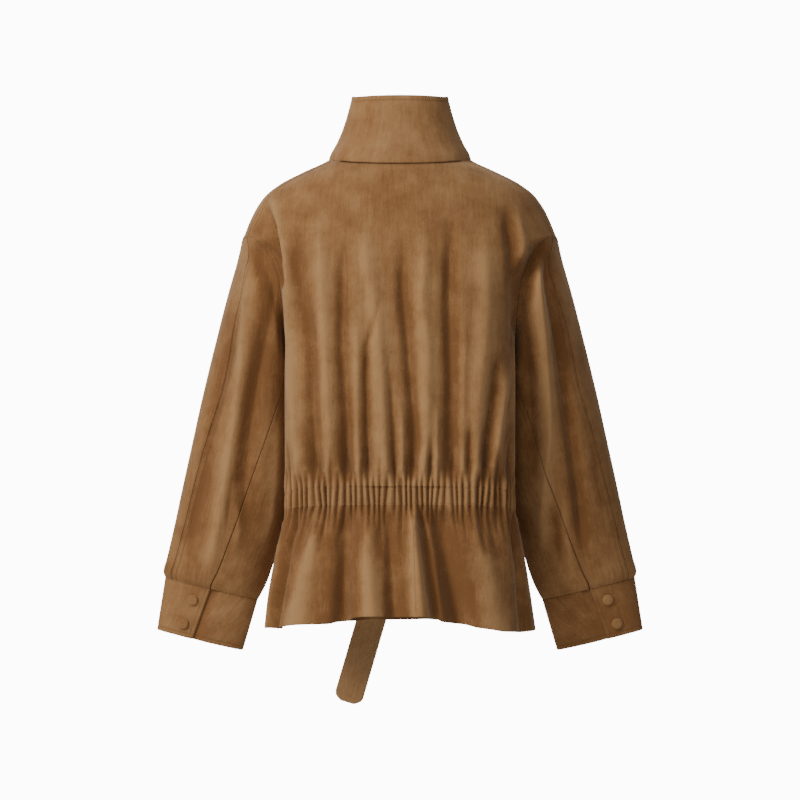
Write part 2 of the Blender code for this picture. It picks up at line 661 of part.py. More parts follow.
def back_lift(length, z, point):
    """The back's folds, which die away at the side seams and armholes."""
    half_width = torso.at(z, "half_width")
    inside = smooth(abs(point.x), half_width, EDGE_FLAT * half_width)
    corner = smooth(point.y - torso.at(z, "side_y"), *CORNER_REACH)
    return fold_lift(BACK_FOLDS, length, z, CASING_TOP_SIDE) * max(inside, corner)


def build_back_bodice():
    """The back in one piece; its lowest rows carry the casing's gathers."""
    neck_z = -SEAM_GAP / 2
    levels = [(neck_z - NECK_BACK_DROP, neck_z)]
    levels += [(z, z) for z in SHOULDER_LEVELS + (ARMHOLE_TOP_Z,)]
    levels += [(z, z) for z in (armhole_edge(math.radians(turn))[1] for turn in ARMHOLE_BACK_TURNS)]
    levels += [(z + SIDE_LEVEL_RISE * i, z) for i, z in enumerate(SIDE_LEVELS)]
    rows = []
    for z_mid, z_side in levels:
        path = back_path(z_mid, z_side)
        rows.append(torso_row(path, fold_places(trace(path)[0], z_side), CLOTH, back_lift))
    places = gather_places()
    for rise in WAIST_RISES:
        z_mid = CASING_TOP_MID + SEAM_GAP / 2 + rise
        z_side = CASING_TOP_SIDE + SEAM_GAP / 2 + rise
        row = gathered_row(z_mid, z_side, places, CLOTH, 1 - rise / GATHER_FADE_UP, back_lift)
        rows.append(row)
    cloth_wall("back_bodice", rows, suede("back_bodice_suede", SUEDE_BODY))


def gathered_row(z_mid, z_side, places, thickness, strength, raised, swell=0.0):
    """A row whose points are the crests and troughs of the gathers."""
    row = torso_row(back_path(z_mid, z_side), places, thickness, raised)
    gathered = []
    for index, (place, outer, inner) in enumerate(row):
        away = (outer - inner).normalized()
        lift = away * (gather_lift(index, strength) + swell)
        gathered.append((place, outer + lift, inner + lift * GATHER_INSIDE))
    return gathered


def front_starts():
    """The outer edge of a front, as (angle, z): shoulder seam, armhole, side seam."""
    neck_z = -SEAM_GAP / 2
    starts = [(side_edge(z), z) for z in (neck_z,) + SHOULDER_LEVELS + (ARMHOLE_TOP_Z,)]
    starts += [armhole_edge(math.radians(turn)) for turn in ARMHOLE_FRONT_TURNS]
    foot = CASING_TOP_SIDE + SEAM_GAP / 2
    return starts + [(side_edge(z), z) for z in SIDE_LEVELS + tuple(foot + rise for rise in WAIST_RISES)]


def front_path(start_angle, start_z, front_z):
    """A row across a front, from its outer edge to its lap; rows near the neck dip late."""
    late = smooth(front_z, NECK_DIP_FOOT, -NECK_FRONT_DROP)
    end = front_angle(front_z, -LAP)

    def path(t):
        return mix(start_angle, end, t), front_row_z(t, start_z, front_z, late)

    return path


def front_lift(side):
    """A front's folds, and its dip under the other front."""

    def raised(length, z, point):
        calm = mix(FOLD_KEPT_IN_FRONT, 1.0, smooth(z, CASING_TOP_SIDE, CASING_TOP_SIDE + FOLD_CALM_RISE))
        folds = fold_lift(FRONT_FOLDS, length - LAP, z, FRONT_FOLD_FOOT) * calm
        free = off_side(z, point.x) * off_lap(point.x)
        return folds * free - lap_dip(side, point.x, CLOTH + LAYER_GAP)

    return raised


def build_fronts():
    starts = front_starts()
    heights = []
    for i, (_, z) in enumerate(starts):
        heights.append(min(z, -NECK_FRONT_DROP - SEAM_GAP / 2 - FRONT_ROW_STEP * i))
    for side, label in ((1, "left"), (-1, "right")):
        rows = []
        for (angle, z), front_z in zip(starts, heights):
            path = front_path(angle, z, front_z)
            row = torso_row(path, even(FRONT_COLUMNS), CLOTH, front_lift(side), 1.0, side < 0)
            rows.append(row)
        name = "front_" + label
        cloth_wall(name, rows, suede(name + "_suede", SUEDE_BODY))


# ---- Collar ----


def collar_row(share):
    """One row round the collar, from the left end, which lies beneath, round the back to the right end."""
    wide = collar_width.at(0.0, "half_width")
    narrow = collar_width.at(1.0, "half_width")
    flare = (collar_width.at(share, "half_width") - narrow) / (wide - narrow)
    mid_y = (COLLAR_TOP_BACK_Y + COLLAR_TOP_FRONT_Y) / 2
    reach = (COLLAR_TOP_BACK_Y - COLLAR_TOP_FRONT_Y) / 2
    row = []
    for fraction in even(COLLAR_CELLS):
        side = 1 if fraction < 0.5 else -1
        angle = mix(math.pi / 2, neck_end_angle(), abs(1 - 2 * fraction))
        base = neck_edge(angle)
        base.z += NECK_GAP
        top = Vector((narrow * math.cos(angle), mid_y + reach * math.sin(angle), 0.0))
        top.z = mix(COLLAR_TOP_FRONT_Z, COLLAR_TOP_BACK_Z, smooth(math.sin(angle), *COLLAR_FRONT_BACK))
        outer = top.lerp(base, flare)
        outer.z = mix(base.z, top.z, share)
        away = Vector((math.cos(angle), math.sin(angle), COLLAR_LEAN)).normalized()
        dip = lap_dip(side, outer.x, DOUBLE_CLOTH + LAYER_GAP) if angle < 0 else 0.0
        inner = outer - away * (dip + DOUBLE_CLOTH)
        outer = outer - away * dip
        outer.x, inner.x = side * outer.x, side * inner.x
        row.append((fraction, outer, inner))
    return row


def build_collar():
    rows = [collar_row(share) for share in COLLAR_ROWS]
    cloth_wall("collar", rows, suede("collar_suede", SUEDE_LIGHT))


# ---- Waist ----


def build_waist_back():
    """The elastic casing: gathered, arched up at the centre and proud of its stitch lines."""
    places = gather_places()
    rows = []
    for down in CASING_ROWS:
        edge = SEAM_GAP / 2 * (1 - 2 * down)
        z_mid = mix(CASING_TOP_MID, CASING_FOOT_MID, down) - edge
        z_side = mix(CASING_TOP_SIDE, CASING_FOOT_SIDE, down) - edge
        swell = CASING_SWELL * math.sin(math.pi * down)
        rows.append(gathered_row(z_mid, z_side, places, CASING_CLOTH, 1.0, waist_lift, swell))
    cloth_wall("waist_back", rows, suede("waist_back_suede", SUEDE_BODY))


def waist_lift(length, z, point):
    """The bodice's folds die away in the band."""
    return FOLD_KEPT_IN_BAND * fold_lift(BACK_FOLDS, length, CASING_TOP_SIDE, CASING_TOP_SIDE)


def build_waist_fronts():
    for side, label in ((1, "left"), (-1, "right")):
        rows = []
        for down in (0.0, 1.0):
            edge = SEAM_GAP / 2 * (1 - 2 * down)
            z = mix(CASING_TOP_SIDE, CASING_FOOT_SIDE, down) - edge
            path = front_path(side_edge(z), z, z - WAIST_FRONT_DROP * down)
            rows.append(torso_row(path, even(FRONT_COLUMNS), DOUBLE_CLOTH, band_lift(side), 1.0, side < 0))
        name = "waist_front_" + label
        cloth_wall(name, rows, suede(name + "_suede", SUEDE_BODY))


def band_lift(side):
    """The front waistband's dip under the other one."""

    def raised(length, z, point):
        return -lap_dip(side, point.x, DOUBLE_CLOTH + LAYER_GAP)

    return raised


# ---- Peplum ----


def peplum_back_rows(start, end, first_index):
    """Rows of one half of the back peplum; start and end are shares across the whole back."""
    near = 1 / (6 * GATHERS)
    fine = [start] + [p for p in gather_places() if start + near < p < end - near] + [end]
    coarse = [mix(start, end, fraction) for fraction in even(PEPLUM_COLUMNS)]
    rows = []
    for down, strength in PEPLUM_ROWS:
        rows.append(peplum_row(down, fine if strength else coarse, strength, first_index))
    return rows


def peplum_row(down, shares, strength, first_index):
    top_mid = CASING_FOOT_MID - SEAM_GAP / 2
    top_side = CASING_FOOT_SIDE - SEAM_GAP / 2

    def path(t):
        top = arched(top_mid, top_side, t)
        edge = side_edge(mix(top_side, SIDE_HEM_Z, down))
        angle = mix(edge, math.pi - edge, t)
        hem = back_hem.at(HEM_REACH * (1 - 2 * t), "z")
        return angle, mix(top, hem, down)

    def raised(length, z, point):
        flutes = flute_lift(BACK_FLUTES, length, down) * smooth(down, *FLUTE_START)
        folds = waist_lift(length, z, point) * smooth(down, FOLD_END_DROP, 0.0)
        return folds + flutes * smooth(abs(length), *FLUTE_EDGE)

    row = torso_row(path, shares, CLOTH, raised)
    if not strength:
        return row
    gathered = []
    for index, (place, outer, inner) in enumerate(row, first_index):
        lift = (outer - inner).normalized() * gather_lift(index, strength)
        gathered.append((place, outer + lift, inner + lift))
    return gathered


def build_peplum_backs():
    half_gap = SEAM_GAP / 2 / PEPLUM_BACK_LENGTH
    left = peplum_back_rows(0.0, CENTRE_BACK_SHARE - half_gap, 0)
    right = peplum_back_rows(CENTRE_BACK_SHARE + half_gap, 1.0, 1)
    cloth_wall("peplum_back_left", left, suede("peplum_back_left_suede", SUEDE_BODY))
    cloth_wall("peplum_back_right", right, suede("peplum_back_right_suede", SUEDE_BODY))


def peplum_front_lift(side, down):
    """A front peplum's waves, and its dip under the other one."""

    def raised(length, z, point):
        waves = flute_lift(FRONT_FLUTES, length - LAP, down) * smooth(down, *FRONT_FLUTE_START)
        free = off_side(z, point.x) * off_lap(point.x)
        return waves * free - lap_dip(side, point.x, CLOTH + LAYER_GAP)

    return raised


def build_peplum_fronts():
    top_side = CASING_FOOT_SIDE - SEAM_GAP / 2
    for side, label in ((1, "left"), (-1, "right")):
        rows = []
        for down in PEPLUM_FRONT_ROWS:
            z = mix(top_side, SIDE_HEM_Z, down)
            front_z = mix(top_side - WAIST_FRONT_DROP, FRONT_HEM_Z, down)
            path = front_path(side_edge(z), z, front_z)
            raised = peplum_front_lift(side, down)
            rows.append(torso_row(path, even(PEPLUM_FRONT_COLUMNS), CLOTH, raised, 1.0, side < 0))
        name = "peplum_front_" + label
        cloth_wall(name, rows, suede(name + "_suede", SUEDE_BODY))


# ---- Sleeves and cuffs ----


def sleeve_base(turn, run):
    """The left sleeve's smooth tube; turn 0 is its outer edge and pi/2 its back."""
    outer = Vector((sleeve.at(run, "outer_x"), 0, sleeve.at(run, "outer_z")))
    inner = Vector((sleeve.at(run, "inner_x"), 0, sleeve.at(run, "inner_z")))
    point = (outer + inner) / 2 + (outer - inner) / 2 * math.cos(turn)
    point.y = sleeve.at(run, "mid_y") + sleeve.at(run, "half_depth") * math.sin(turn)
    return point


def sleeve_point(turn, run):
    """The smooth sleeve, drawn on to the armhole at its top."""
    point = sleeve_base(turn, run)
    hold = max(1 - run / ARMHOLE_BLEND, 0.0) ** 2
    if hold:
        point += (torso_point(*armhole_edge(turn)) - sleeve_base(turn, 0.0)) * hold
    return point


def outward(surface, turn, down):
    """The outward normal of a tube surface(turn, down)."""
    round_it = surface(turn + TURN_STEP, down) - surface(turn - TURN_STEP, down)
    along = surface(turn, min(down + TURN_STEP, 1.0)) - surface(turn, max(down - TURN_STEP, 0.0))
    return along.cross(round_it).normalized()


def sleeve_lift(folds, turn, run):
    """How far the long folds raise or sink the sleeve at this place."""
    degrees = math.degrees(turn)
    before, after = SLEEVE_FOLD_EASE
    lift = 0.0
    for turn_top, turn_low, run_top, run_low, width, height in folds:
        centre = mix(turn_top, turn_low, smooth(run, run_top, run_low))
        apart = (degrees - centre + 180) % 360 - 180
        ease = smooth(run, run_top - before, run_top + after) * smooth(run, run_low + before, run_low - after)
        lift += height * ease * bump(apart, 0.0, width)
    return lift


def armhole_fractions(start, end):
    """Where the torso's rows meet the armhole between two turns, as fractions of the way."""
    turns = set(ARMHOLE_BACK_TURNS) | {turn % 360 for turn in ARMHOLE_FRONT_TURNS}
    low, high = ARMHOLE_MATCH
    shares = [(math.radians(turn) - start) / (end - start) for turn in sorted(turns)]
    return [0.0] + [share for share in shares if low < share < high] + [1.0]


def sleeve_panel(side, folds, from_seam, to_seam, cells):
    """The rows of one long panel between two of the sleeve's seams."""
    rows = []
    for run in SLEEVE_RUNS:
        start = math.radians(sleeve_seam.at(run, from_seam))
        end = math.radians(sleeve_seam.at(run, to_seam))
        if end < start:
            end += 2 * math.pi
        trim = SLEEVE_SEAM_GAP / 2 / sleeve.at(run, "half_depth")
        fractions = even(cells) if run else armhole_fractions(start + trim, end - trim)
        row = []
        for fraction in fractions:
            turn = mix(start + trim, end - trim, fraction)
            point = sleeve_point(turn, run)
            normal = outward(sleeve_point, turn, run)
            if run == 0.0:
                away = (sleeve_point(turn, ARMHOLE_STEP) - point).normalized()
                point = point + away * ARMHOLE_GAP
            lift = sleeve_lift(folds, turn, run)
            outer = point + normal * lift
            inner = point + normal * (lift - CLOTH)
            if side < 0:
                outer.x, inner.x = -outer.x, -inner.x
            row.append((fraction, outer, inner))
        rows.append(row)
    return rows


def build_sleeve(side, label, folds):
    """A sleeve in three panels: its back, its underarm and its front."""
    for panel, (from_seam, to_seam) in SLEEVE_PANELS.items():
        rows = sleeve_panel(side, folds, from_seam, to_seam, SLEEVE_PANEL_COLUMNS[panel])
        name = f"sleeve_{label}_{panel}"
        cloth_wall(name, rows, suede(name + "_suede", SUEDE_BODY if side > 0 else SUEDE_DARK))


def cuff_point(turn, drop):
    """The left cuff's outer surface: drop 0 is its seam and 1 its foot."""
    top = sleeve_base(turn, 1.0)
    foot = Vector((CUFF_FOOT_MID[0], 0, CUFF_FOOT_MID[1]))
    foot += Vector((CUFF_FOOT_HALF[0], 0, CUFF_FOOT_HALF[1])) * math.cos(turn)
    foot.y = sleeve.at(1.0, "mid_y") + CUFF_FOOT_HALF_DEPTH * math.sin(turn)
    return top.lerp(foot, drop)


def build_cuff(side, label):
    """A band whose outer end laps over the inner one at the slit."""
    rows = []
    for drop in CUFF_ROWS:
        slit = mix(CUFF_SLIT_TOP, CUFF_SLIT_FOOT, drop)
        row = []
        for fraction in even(CUFF_CELLS):
            degrees = mix(slit, slit - 360 - CUFF_LAP, fraction)
            turn = math.radians(degrees)
            dip = (DOUBLE_CLOTH + LAYER_GAP) * smooth(slit - 360 - degrees, *CUFF_LAP_EASE)
            point = cuff_point(turn, drop)
            normal = outward(cuff_point, turn, drop)
            if drop == 0.0:
                point.z -= CUFF_SEAM_GAP
            outer = point - normal * dip
            inner = point - normal * (dip + DOUBLE_CLOTH)
            if side < 0:
                outer.x, inner.x = -outer.x, -inner.x
            row.append((fraction, outer, inner))
        rows.append(row)
    name = "cuff_" + label
    cloth_wall(name, rows, suede(name + "_suede", SUEDE_LIGHT if side > 0 else SUEDE_DARK))


# ---- Snaps ----


def build_snap(name, point, normal):
    """A cloth-covered snap cap: a low dome turned about its own axis."""
    mesh = bpy.data.meshes.new(name)
    points = [(SNAP_RADIUS * out, 0.0, SNAP_HEIGHT * up) for out, up in SNAP_PROFILE]
    mesh.from_pydata(points, [(i, i + 1) for i in range(len(points) - 1)], [])
    snap = bpy.data.objects.new(name, mesh)
    collection.objects.link(snap)
    turned = snap.modifiers.new("turned", "SCREW")
    turned.axis = "Z"
    turned.steps = turned.render_steps = SNAP_SIDES
    turned.use_merge_vertices = True
    turned.merge_threshold = MERGE_DISTANCE
    turned.use_normal_calculate = True
    mesh.materials.append(suede(name + "_suede", SUEDE_LIGHT))
    snap.location = point + normal * SNAP_SEAT
    snap.rotation_euler = normal.to_track_quat("Z", "Y").to_euler()


def build_snaps():
    for side, label in ((1, "left"), (-1, "right")):
        for number, (degrees, drop) in enumerate(CUFF_SNAPS, 1):
            turn = math.radians(degrees)
            point = cuff_point(turn, drop)
            normal = outward(cuff_point, turn, drop)
            if side < 0:
                point.x, normal.x = -point.x, -normal.x
            build_snap(f"snap_cuff_{label}_{number}", point, normal)
    for number, z in enumerate(FRONT_SNAP_HEIGHTS, 1):
        point = torso_point(-math.pi / 2, z)
        build_snap(f"snap_front_{number}", point, torso_normal(point))


# ---- Belt ----


def belt_path(edge):
    """Across the front from the left side seam to the knot; edge is 1 at the belt's top, -1 at its foot."""

    def path(t):
        z = mix(BELT_MID_SIDE_Z, BELT_MID_FRONT_Z, t) + edge * BELT_WIDTH / 2
        return mix(side_edge(BELT_MID_SIDE_Z), front_angle(BELT_MID_FRONT_Z, BELT_STOP), t), z

    return path


def belt_lift(crown):
    """The band lies close at the side seam and stands off over the front."""

    def raised(length, z, point):
        return mix(BELT_SEWN_OFF, BELT_STAND_OFF + crown, off_side(z, point.x))

    return raised


def build_belt_bands():
    for side, label in ((1, "left"), (-1, "right")):
        rows = []
        for edge, crown in ((1.0, 0.0), (0.0, BELT_CROWN), (-1.0, 0.0)):
            path = belt_path(edge)
            rows.append(torso_row(path, even(BELT_CELLS), DOUBLE_CLOTH, belt_lift(crown), 1.0, side < 0))
        name = "belt_" + label
        cloth_wall(name, rows, suede(name + "_suede", SUEDE_LIGHT))


def build_knot():
    """The tied knot at the centre front: a rounded block, wider at its top."""
    front = torso_point(-math.pi / 2, BELT_MID_FRONT_Z)
    bpy.ops.mesh.primitive_cube_add(size=1.0)
    knot = bpy.context.object
    knot.name = knot.data.name = "belt_knot"
    for vertex in knot.data.vertices:
        x, y, z = vertex.co
        width = KNOT_SIZE[0] * (KNOT_TOP_WIDTH if z > 0 else KNOT_FOOT_WIDTH)
        vertex.co = (x * width, y * KNOT_SIZE[1], z * KNOT_SIZE[2])
    rounded = knot.modifiers.new("rounded", "BEVEL")
    rounded.width = KNOT_ROUNDING
    rounded.segments = 4
    knot.location = (0.0, front.y - KNOT_STAND_OFF, BELT_MID_FRONT_Z)
    knot.data.materials.append(suede("belt_knot_suede", SUEDE_LIGHT))
    knot.data.shade_smooth()
    for holder in list(knot.users_collection):
        holder.objects.unlink(knot)
    collection.objects.link(knot)


def tail_rows(foot_x, foot_z, off_knot, off_below, lean):
    """A belt end that hangs from the knot in front of the peplum, with its end corners cut."""
    top = Vector((0.0, 0.0, BELT_MID_FRONT_Z - TAIL_START_DROP))
    low = Vector((foot_x, 0.0, foot_z))
    down = (low - top).normalized()
    level = Vector((1.0, 0.0, 0.0))
    slanted = Vector((-down.z, 0.0, down.x))
    rows = []
    for step in range(TAIL_STEPS + 1):
        t = step / TAIL_STEPS
        spread = smooth(t, 0.0, TAIL_SPREAD)
        width = BELT_WIDTH * mix(TAIL_TOP_WIDTH, 1.0, spread)
        across = level.lerp(slanted, spread)
        row = []
        for place in TAIL_PLACES:
            point = top.lerp(low, t) + across * place * width
            if step == TAIL_STEPS and abs(place) == 0.5:
                point = low + across * place * width * TAIL_END_WIDTH - down * TAIL_CORNER
            hang = torso_point(-math.pi / 2, max(point.z, FRONT_HEM_Z)).y
            bow = TAIL_BOW * math.sin(math.pi * min(t / TAIL_BOW_REACH, 1.0))
            ripple = TAIL_RIPPLE * math.sin(TAIL_RIPPLE_TURN * t + lean) - TAIL_TWIST * 2 * place * lean * t
            point.y = hang - mix(off_knot, off_below, spread) - bow + ripple
            row.append((place, point, point + Vector((0.0, DOUBLE_CLOTH, 0.0))))
        rows.append(row)
    return rows


def build_tails():
    for label, *shape in TAILS:
        name = "belt_tail_" + label
        cloth_wall(name, tail_rows(*shape), suede(name + "_suede", SUEDE_LIGHT))


# ---- The jacket ----

for leftover in list(bpy.data.objects):
    bpy.data.objects.remove(leftover, do_unlink=True)
collection = bpy.data.collections.new(OBJECT_NAME)
bpy.context.scene.collection.children.link(collection)

build_back_bodice()
build_fronts()
build_collar()
build_waist_back()
build_waist_fronts()
build_peplum_backs()
build_peplum_fronts()
build_sleeve(1, "left", LEFT_SLEEVE_FOLDS)
build_sleeve(-1, "right", RIGHT_SLEEVE_FOLDS)
build_cuff(1, "left")
build_cuff(-1, "right")
build_snaps()
build_belt_bands()
build_knot()
build_tails()
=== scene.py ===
"""Dressing of a suede jacket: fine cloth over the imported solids, its stitching, covered snaps and tie belt.

The wearer faces -Y, +Z is up and the wearer's left is +X; the origin is the middle of the neck seam.
Sizes are in metres unless a name says millimetres. Every cloth piece is a grid of points on the outer
face, raised off a smooth form by its folds, gathers and creases, with an inner face one thickness behind.
"""

from __future__ import annotations

import logging
import math
from collections.abc import Callable, Mapping, Sequence
from dataclasses import dataclass, field, replace
from enum import Enum
from functools import cached_property
from typing import Any, ClassVar

import bmesh
import bpy
import numpy as np
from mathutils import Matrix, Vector


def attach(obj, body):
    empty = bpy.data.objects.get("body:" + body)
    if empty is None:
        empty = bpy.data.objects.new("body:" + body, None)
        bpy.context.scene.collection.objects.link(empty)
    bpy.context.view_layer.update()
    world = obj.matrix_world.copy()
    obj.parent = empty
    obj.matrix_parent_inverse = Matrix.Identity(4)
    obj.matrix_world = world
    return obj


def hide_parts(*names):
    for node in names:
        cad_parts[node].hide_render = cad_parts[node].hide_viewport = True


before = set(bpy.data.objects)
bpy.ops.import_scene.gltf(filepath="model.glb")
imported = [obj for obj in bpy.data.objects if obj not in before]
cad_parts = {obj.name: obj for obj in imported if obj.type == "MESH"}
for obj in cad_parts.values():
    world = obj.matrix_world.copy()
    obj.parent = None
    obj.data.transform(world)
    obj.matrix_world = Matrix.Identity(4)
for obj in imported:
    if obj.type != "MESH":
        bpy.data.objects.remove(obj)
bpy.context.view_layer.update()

Array = np.ndarray
log = logging.getLogger("suede_jacket")

MM = 0.001
FULL_TURN = 360.0
SHORTEST = 1e-12
ROOT = "root"

CLOTH = 0.0016
DOUBLE_CLOTH = 0.0024
CASING_CLOTH = 0.0030
SEAM_GAP = 0.0003
LAYER_GAP = 0.0006
VIEW_DISTANCE = 4.2
VIEW_HEIGHT = -0.336


class Side(Enum):
    """The wearer's left or right."""

    LEFT = 1
    RIGHT = -1

    @property
    def label(self) -> str:
        """The word that piece names carry."""
        return self.name.lower()


class Edge(Enum):
    """An edge of a cloth grid."""

    TOP = "top"
    FOOT = "foot"
    START = "start"
    END = "end"


class Face(Enum):
    """Which way the cloth that a crease lies on looks."""

    BACK = 1
    FRONT = -1


class Hold(Enum):
    """How a sheet of cloth is held."""

    HUNG = "hung"
    GATHERED = "gathered"
    DRAPED = "draped"


# ---- Plain maths ----


def smooth(value: Any, low: float, high: float) -> Any:
    """A smooth step from 0 at low to 1 at high; low may be the larger.

    Args:
        value: A number or an array.
        low: Where the step is 0.
        high: Where the step is 1.

    Returns:
        The step, shaped like value.
    """
    return eased(np.clip((value - low) / (high - low), 0.0, 1.0))


def eased(t: Any) -> Any:
    """The smooth step's value at a share between 0 and 1."""
    return t * t * (3 - 2 * t)


def mix(a: Any, b: Any, t: Any) -> Any:
    """The value this share of the way from a to b."""
    return a + (b - a) * t


def bump(value: Array, centre: Any, width: Any) -> Array:
    """A rounded hump of height 1."""
    return np.exp(-(((value - centre) / width) ** 2))


def unit(vectors: Array) -> Array:
    """The vectors with length 1."""
    return vectors / np.maximum(np.linalg.norm(vectors, axis=-1, keepdims=True), SHORTEST)


def run_lengths(points: Array) -> Array:
    """How far along a line of points each one lies, from 0."""
    return np.concatenate(([0.0], np.cumsum(np.linalg.norm(np.diff(points, axis=0), axis=-1))))


@dataclass(frozen=True)
class Spacing:
    """The cells of a grid along one way: coarse in the middle, and fine within a reach of either end."""

    coarse: float
    fine: float
    reach: tuple[float, float]
    samples: int = 2000

    def shares(self, total: float, near: Sequence[tuple[float, float]] = ()) -> Array:
        """The grid lines over a length.

        Args:
            total: The whole length.
            near: Other places with finer spacing round them, each with its reach.

        Returns:
            Shares of the whole length, from 0 to 1.
        """
        place = np.linspace(0.0, total, self.samples)
        middle = np.minimum(smooth(place, 0.0, self.reach[0]), smooth(total - place, 0.0, self.reach[1]))
        for spot, width in near:
            middle = np.minimum(middle, smooth(np.abs(place - spot), 0.0, width))
        sizes = mix(self.fine, self.coarse, middle[:-1])
        count = np.concatenate(([0.0], np.cumsum((place[1] - place[0]) / sizes)))
        cells = math.ceil(count[-1])
        return np.interp(np.linspace(0.0, count[-1], cells + 1), count, place) / total


class Curve:
    """A smooth curve through the rows of a short table that never leaves its neighbouring rows."""

    def __init__(self, keys: Sequence[float], values: Sequence[float]) -> None:
        """Fit the curve.

        Args:
            keys: The table's first column, in any order.
            values: The column that the curve passes through.
        """
        order = np.argsort(keys)
        self.keys = np.asarray(keys, float)[order]
        self.values = np.asarray(values, float)[order]
        rises = np.diff(self.values) / np.diff(self.keys)
        before, after = rises[:-1], rises[1:]
        product = before * after
        total = np.where(product > 0, before + after, 1.0)
        inner = np.where(product > 0, 2 * product / total, 0.0)
        self.slopes = np.concatenate((rises[:1], inner, rises[-1:]))

    def __call__(self, key: Any) -> Array:
        """The curve's value at a key or an array of keys."""
        key = np.clip(key, self.keys[0], self.keys[-1])
        i = np.clip(np.searchsorted(self.keys, key, side="right") - 1, 0, len(self.keys) - 2)
        step = self.keys[i + 1] - self.keys[i]
        t = (key - self.keys[i]) / step
        a, b = self.values[i], self.values[i + 1]
        curve = a * (1 + 2 * t) * (1 - t) ** 2 + b * eased(t)
        return curve + self.slopes[i] * step * t * (1 - t) ** 2 - self.slopes[i + 1] * step * t**2 * (1 - t)

    @staticmethod
    def columns(rows: Sequence[Sequence[float]], *names: str) -> dict[str, Curve]:
        """A curve for each named column of a table whose first column holds the keys."""
        keys, *values = zip(*rows)
        return {name: Curve(keys, column) for name, column in zip(names, values)}


def seen(points: Array, face: Face = Face.BACK) -> tuple[Array, Array]:
    """Where points stand as a viewer straight behind or in front sees them, on the plane of the shoulders.

    Args:
        points: Points in space.
        face: From behind or from the front.

    Returns:
        Across, positive towards the wearer's left, and height, both in millimetres.
    """
    scale = VIEW_DISTANCE / (VIEW_DISTANCE - points[..., 1] * face.value)
    across = points[..., 0] * scale
    height = VIEW_HEIGHT + (points[..., 2] - VIEW_HEIGHT) * scale
    return across / MM, height / MM


@dataclass(frozen=True)
class Crease:
    """A crease or ridge, as seen straight on.

    Its path is in millimetres across and up, its width and height in millimetres too. A negative height
    sinks, a sharpness under 2 gives a narrower line, and eases are the shares over which its ends fade.
    """

    path: tuple[tuple[float, float], ...]
    width: float
    height: float
    sharpness: float = 2.0
    eases: tuple[float, float] = (0.25, 0.25)
    face: Face = Face.BACK

    def lift(self, across: Array, height: Array) -> Array:
        """How far the crease raises the cloth, in metres.

        Args:
            across: Places across, in millimetres.
            height: Places up, in millimetres.

        Returns:
            The lift at each place.
        """
        path = np.asarray(self.path, float)
        lengths = np.linalg.norm(np.diff(path, axis=0), axis=1)
        whole = lengths.sum()
        nearest = np.full(across.shape, np.inf)
        share = np.zeros(across.shape)
        gone = 0.0
        for start, end, length in zip(path, path[1:], lengths):
            along = (end - start) / length
            t = np.clip((across - start[0]) * along[0] + (height - start[1]) * along[1], 0.0, length)
            distance = np.hypot(across - start[0] - along[0] * t, height - start[1] - along[1] * t)
            nearer = distance < nearest
            nearest = np.where(nearer, distance, nearest)
            share = np.where(nearer, (gone + t) / whole, share)
            gone += length
        ease = smooth(share, 0.0, self.eases[0]) * smooth(share, 1.0, 1 - self.eases[1])
        return self.height * MM * ease * np.exp(-((nearest / self.width) ** self.sharpness))


CREASE_FACING = (0.02, 0.25)


def creased(creases: Sequence[Crease], points: Array, normals: Array) -> Array:
    """The lift of all the creases on a piece's points.

    Args:
        creases: The creases, each seen from its own face.
        points: The smooth form's points.
        normals: Their outward normals.

    Returns:
        The lift at each point, in metres.
    """
    total = np.zeros(points.shape[:-1])
    for face in Face:
        across, height = seen(points, face)
        facing = smooth(normals[..., 1] * face.value, *CREASE_FACING)
        total += facing * sum(crease.lift(across, height) for crease in creases if crease.face is face)
    return total


# ---- Meshes ----


def placed(name: str, data: bpy.types.ID) -> bpy.types.Object:
    """A new object in the scene that shows this data."""
    thing = bpy.data.objects.new(name, data)
    bpy.context.scene.collection.objects.link(thing)
    return thing


def closed_form(name: str, rings: Sequence[Sequence[Any]]) -> bpy.types.Mesh:
    """A closed, smooth mesh through rings of points.

    Args:
        name: The mesh's name.
        rings: The rings in order; one of a single point is a tip.

    Returns:
        The mesh.
    """
    bm = bmesh.new()
    loops = [[bm.verts.new(point) for point in ring] for ring in rings]
    for before, after in zip(loops, loops[1:]):
        count = max(len(before), len(after))
        for k in range(count):
            other = (k + 1) % count
            corners = [before[k % len(before)], before[other % len(before)]]
            corners += [after[other % len(after)], after[k % len(after)]]
            bm.faces.new(list(dict.fromkeys(corners)))
    for loop in (loops[0][::-1], loops[-1]):
        if len(loop) > 1:
            bm.faces.new(loop)
    bmesh.ops.recalc_face_normals(bm, faces=bm.faces[:])
    mesh = bpy.data.meshes.new(name)
    bm.to_mesh(mesh)
    bm.free()
    mesh.shade_smooth()
    return mesh


def paint(mesh: bpy.types.Mesh, relief: Array, seam: Array, u: Array, v: Array) -> None:
    """Give a mesh what the suede reads: the painted light and shade of its ridges, hollows and seam grooves,
    and its cloth coordinates.

    Args:
        mesh: The mesh.
        relief: The raise, in metres, that the suede paints as light on ridges and shade in hollows.
        seam: How much painted shade darkens the seam's groove there.
        u: Cloth coordinates across.
        v: Cloth coordinates down.
    """
    for name, values in (("relief", relief / MM), ("seam", seam)):
        layer = mesh.attributes.new(name, "FLOAT", "POINT")
        layer.data.foreach_set("value", values.astype(np.float32))
    corners = np.empty(len(mesh.loops), np.int32)
    mesh.loops.foreach_get("vertex_index", corners)
    places = np.stack((u[corners], v[corners]), axis=-1)
    mesh.uv_layers.new(name="cloth").data.foreach_set("uv", places.astype(np.float32).ravel())


# ---- Cloth grids ----


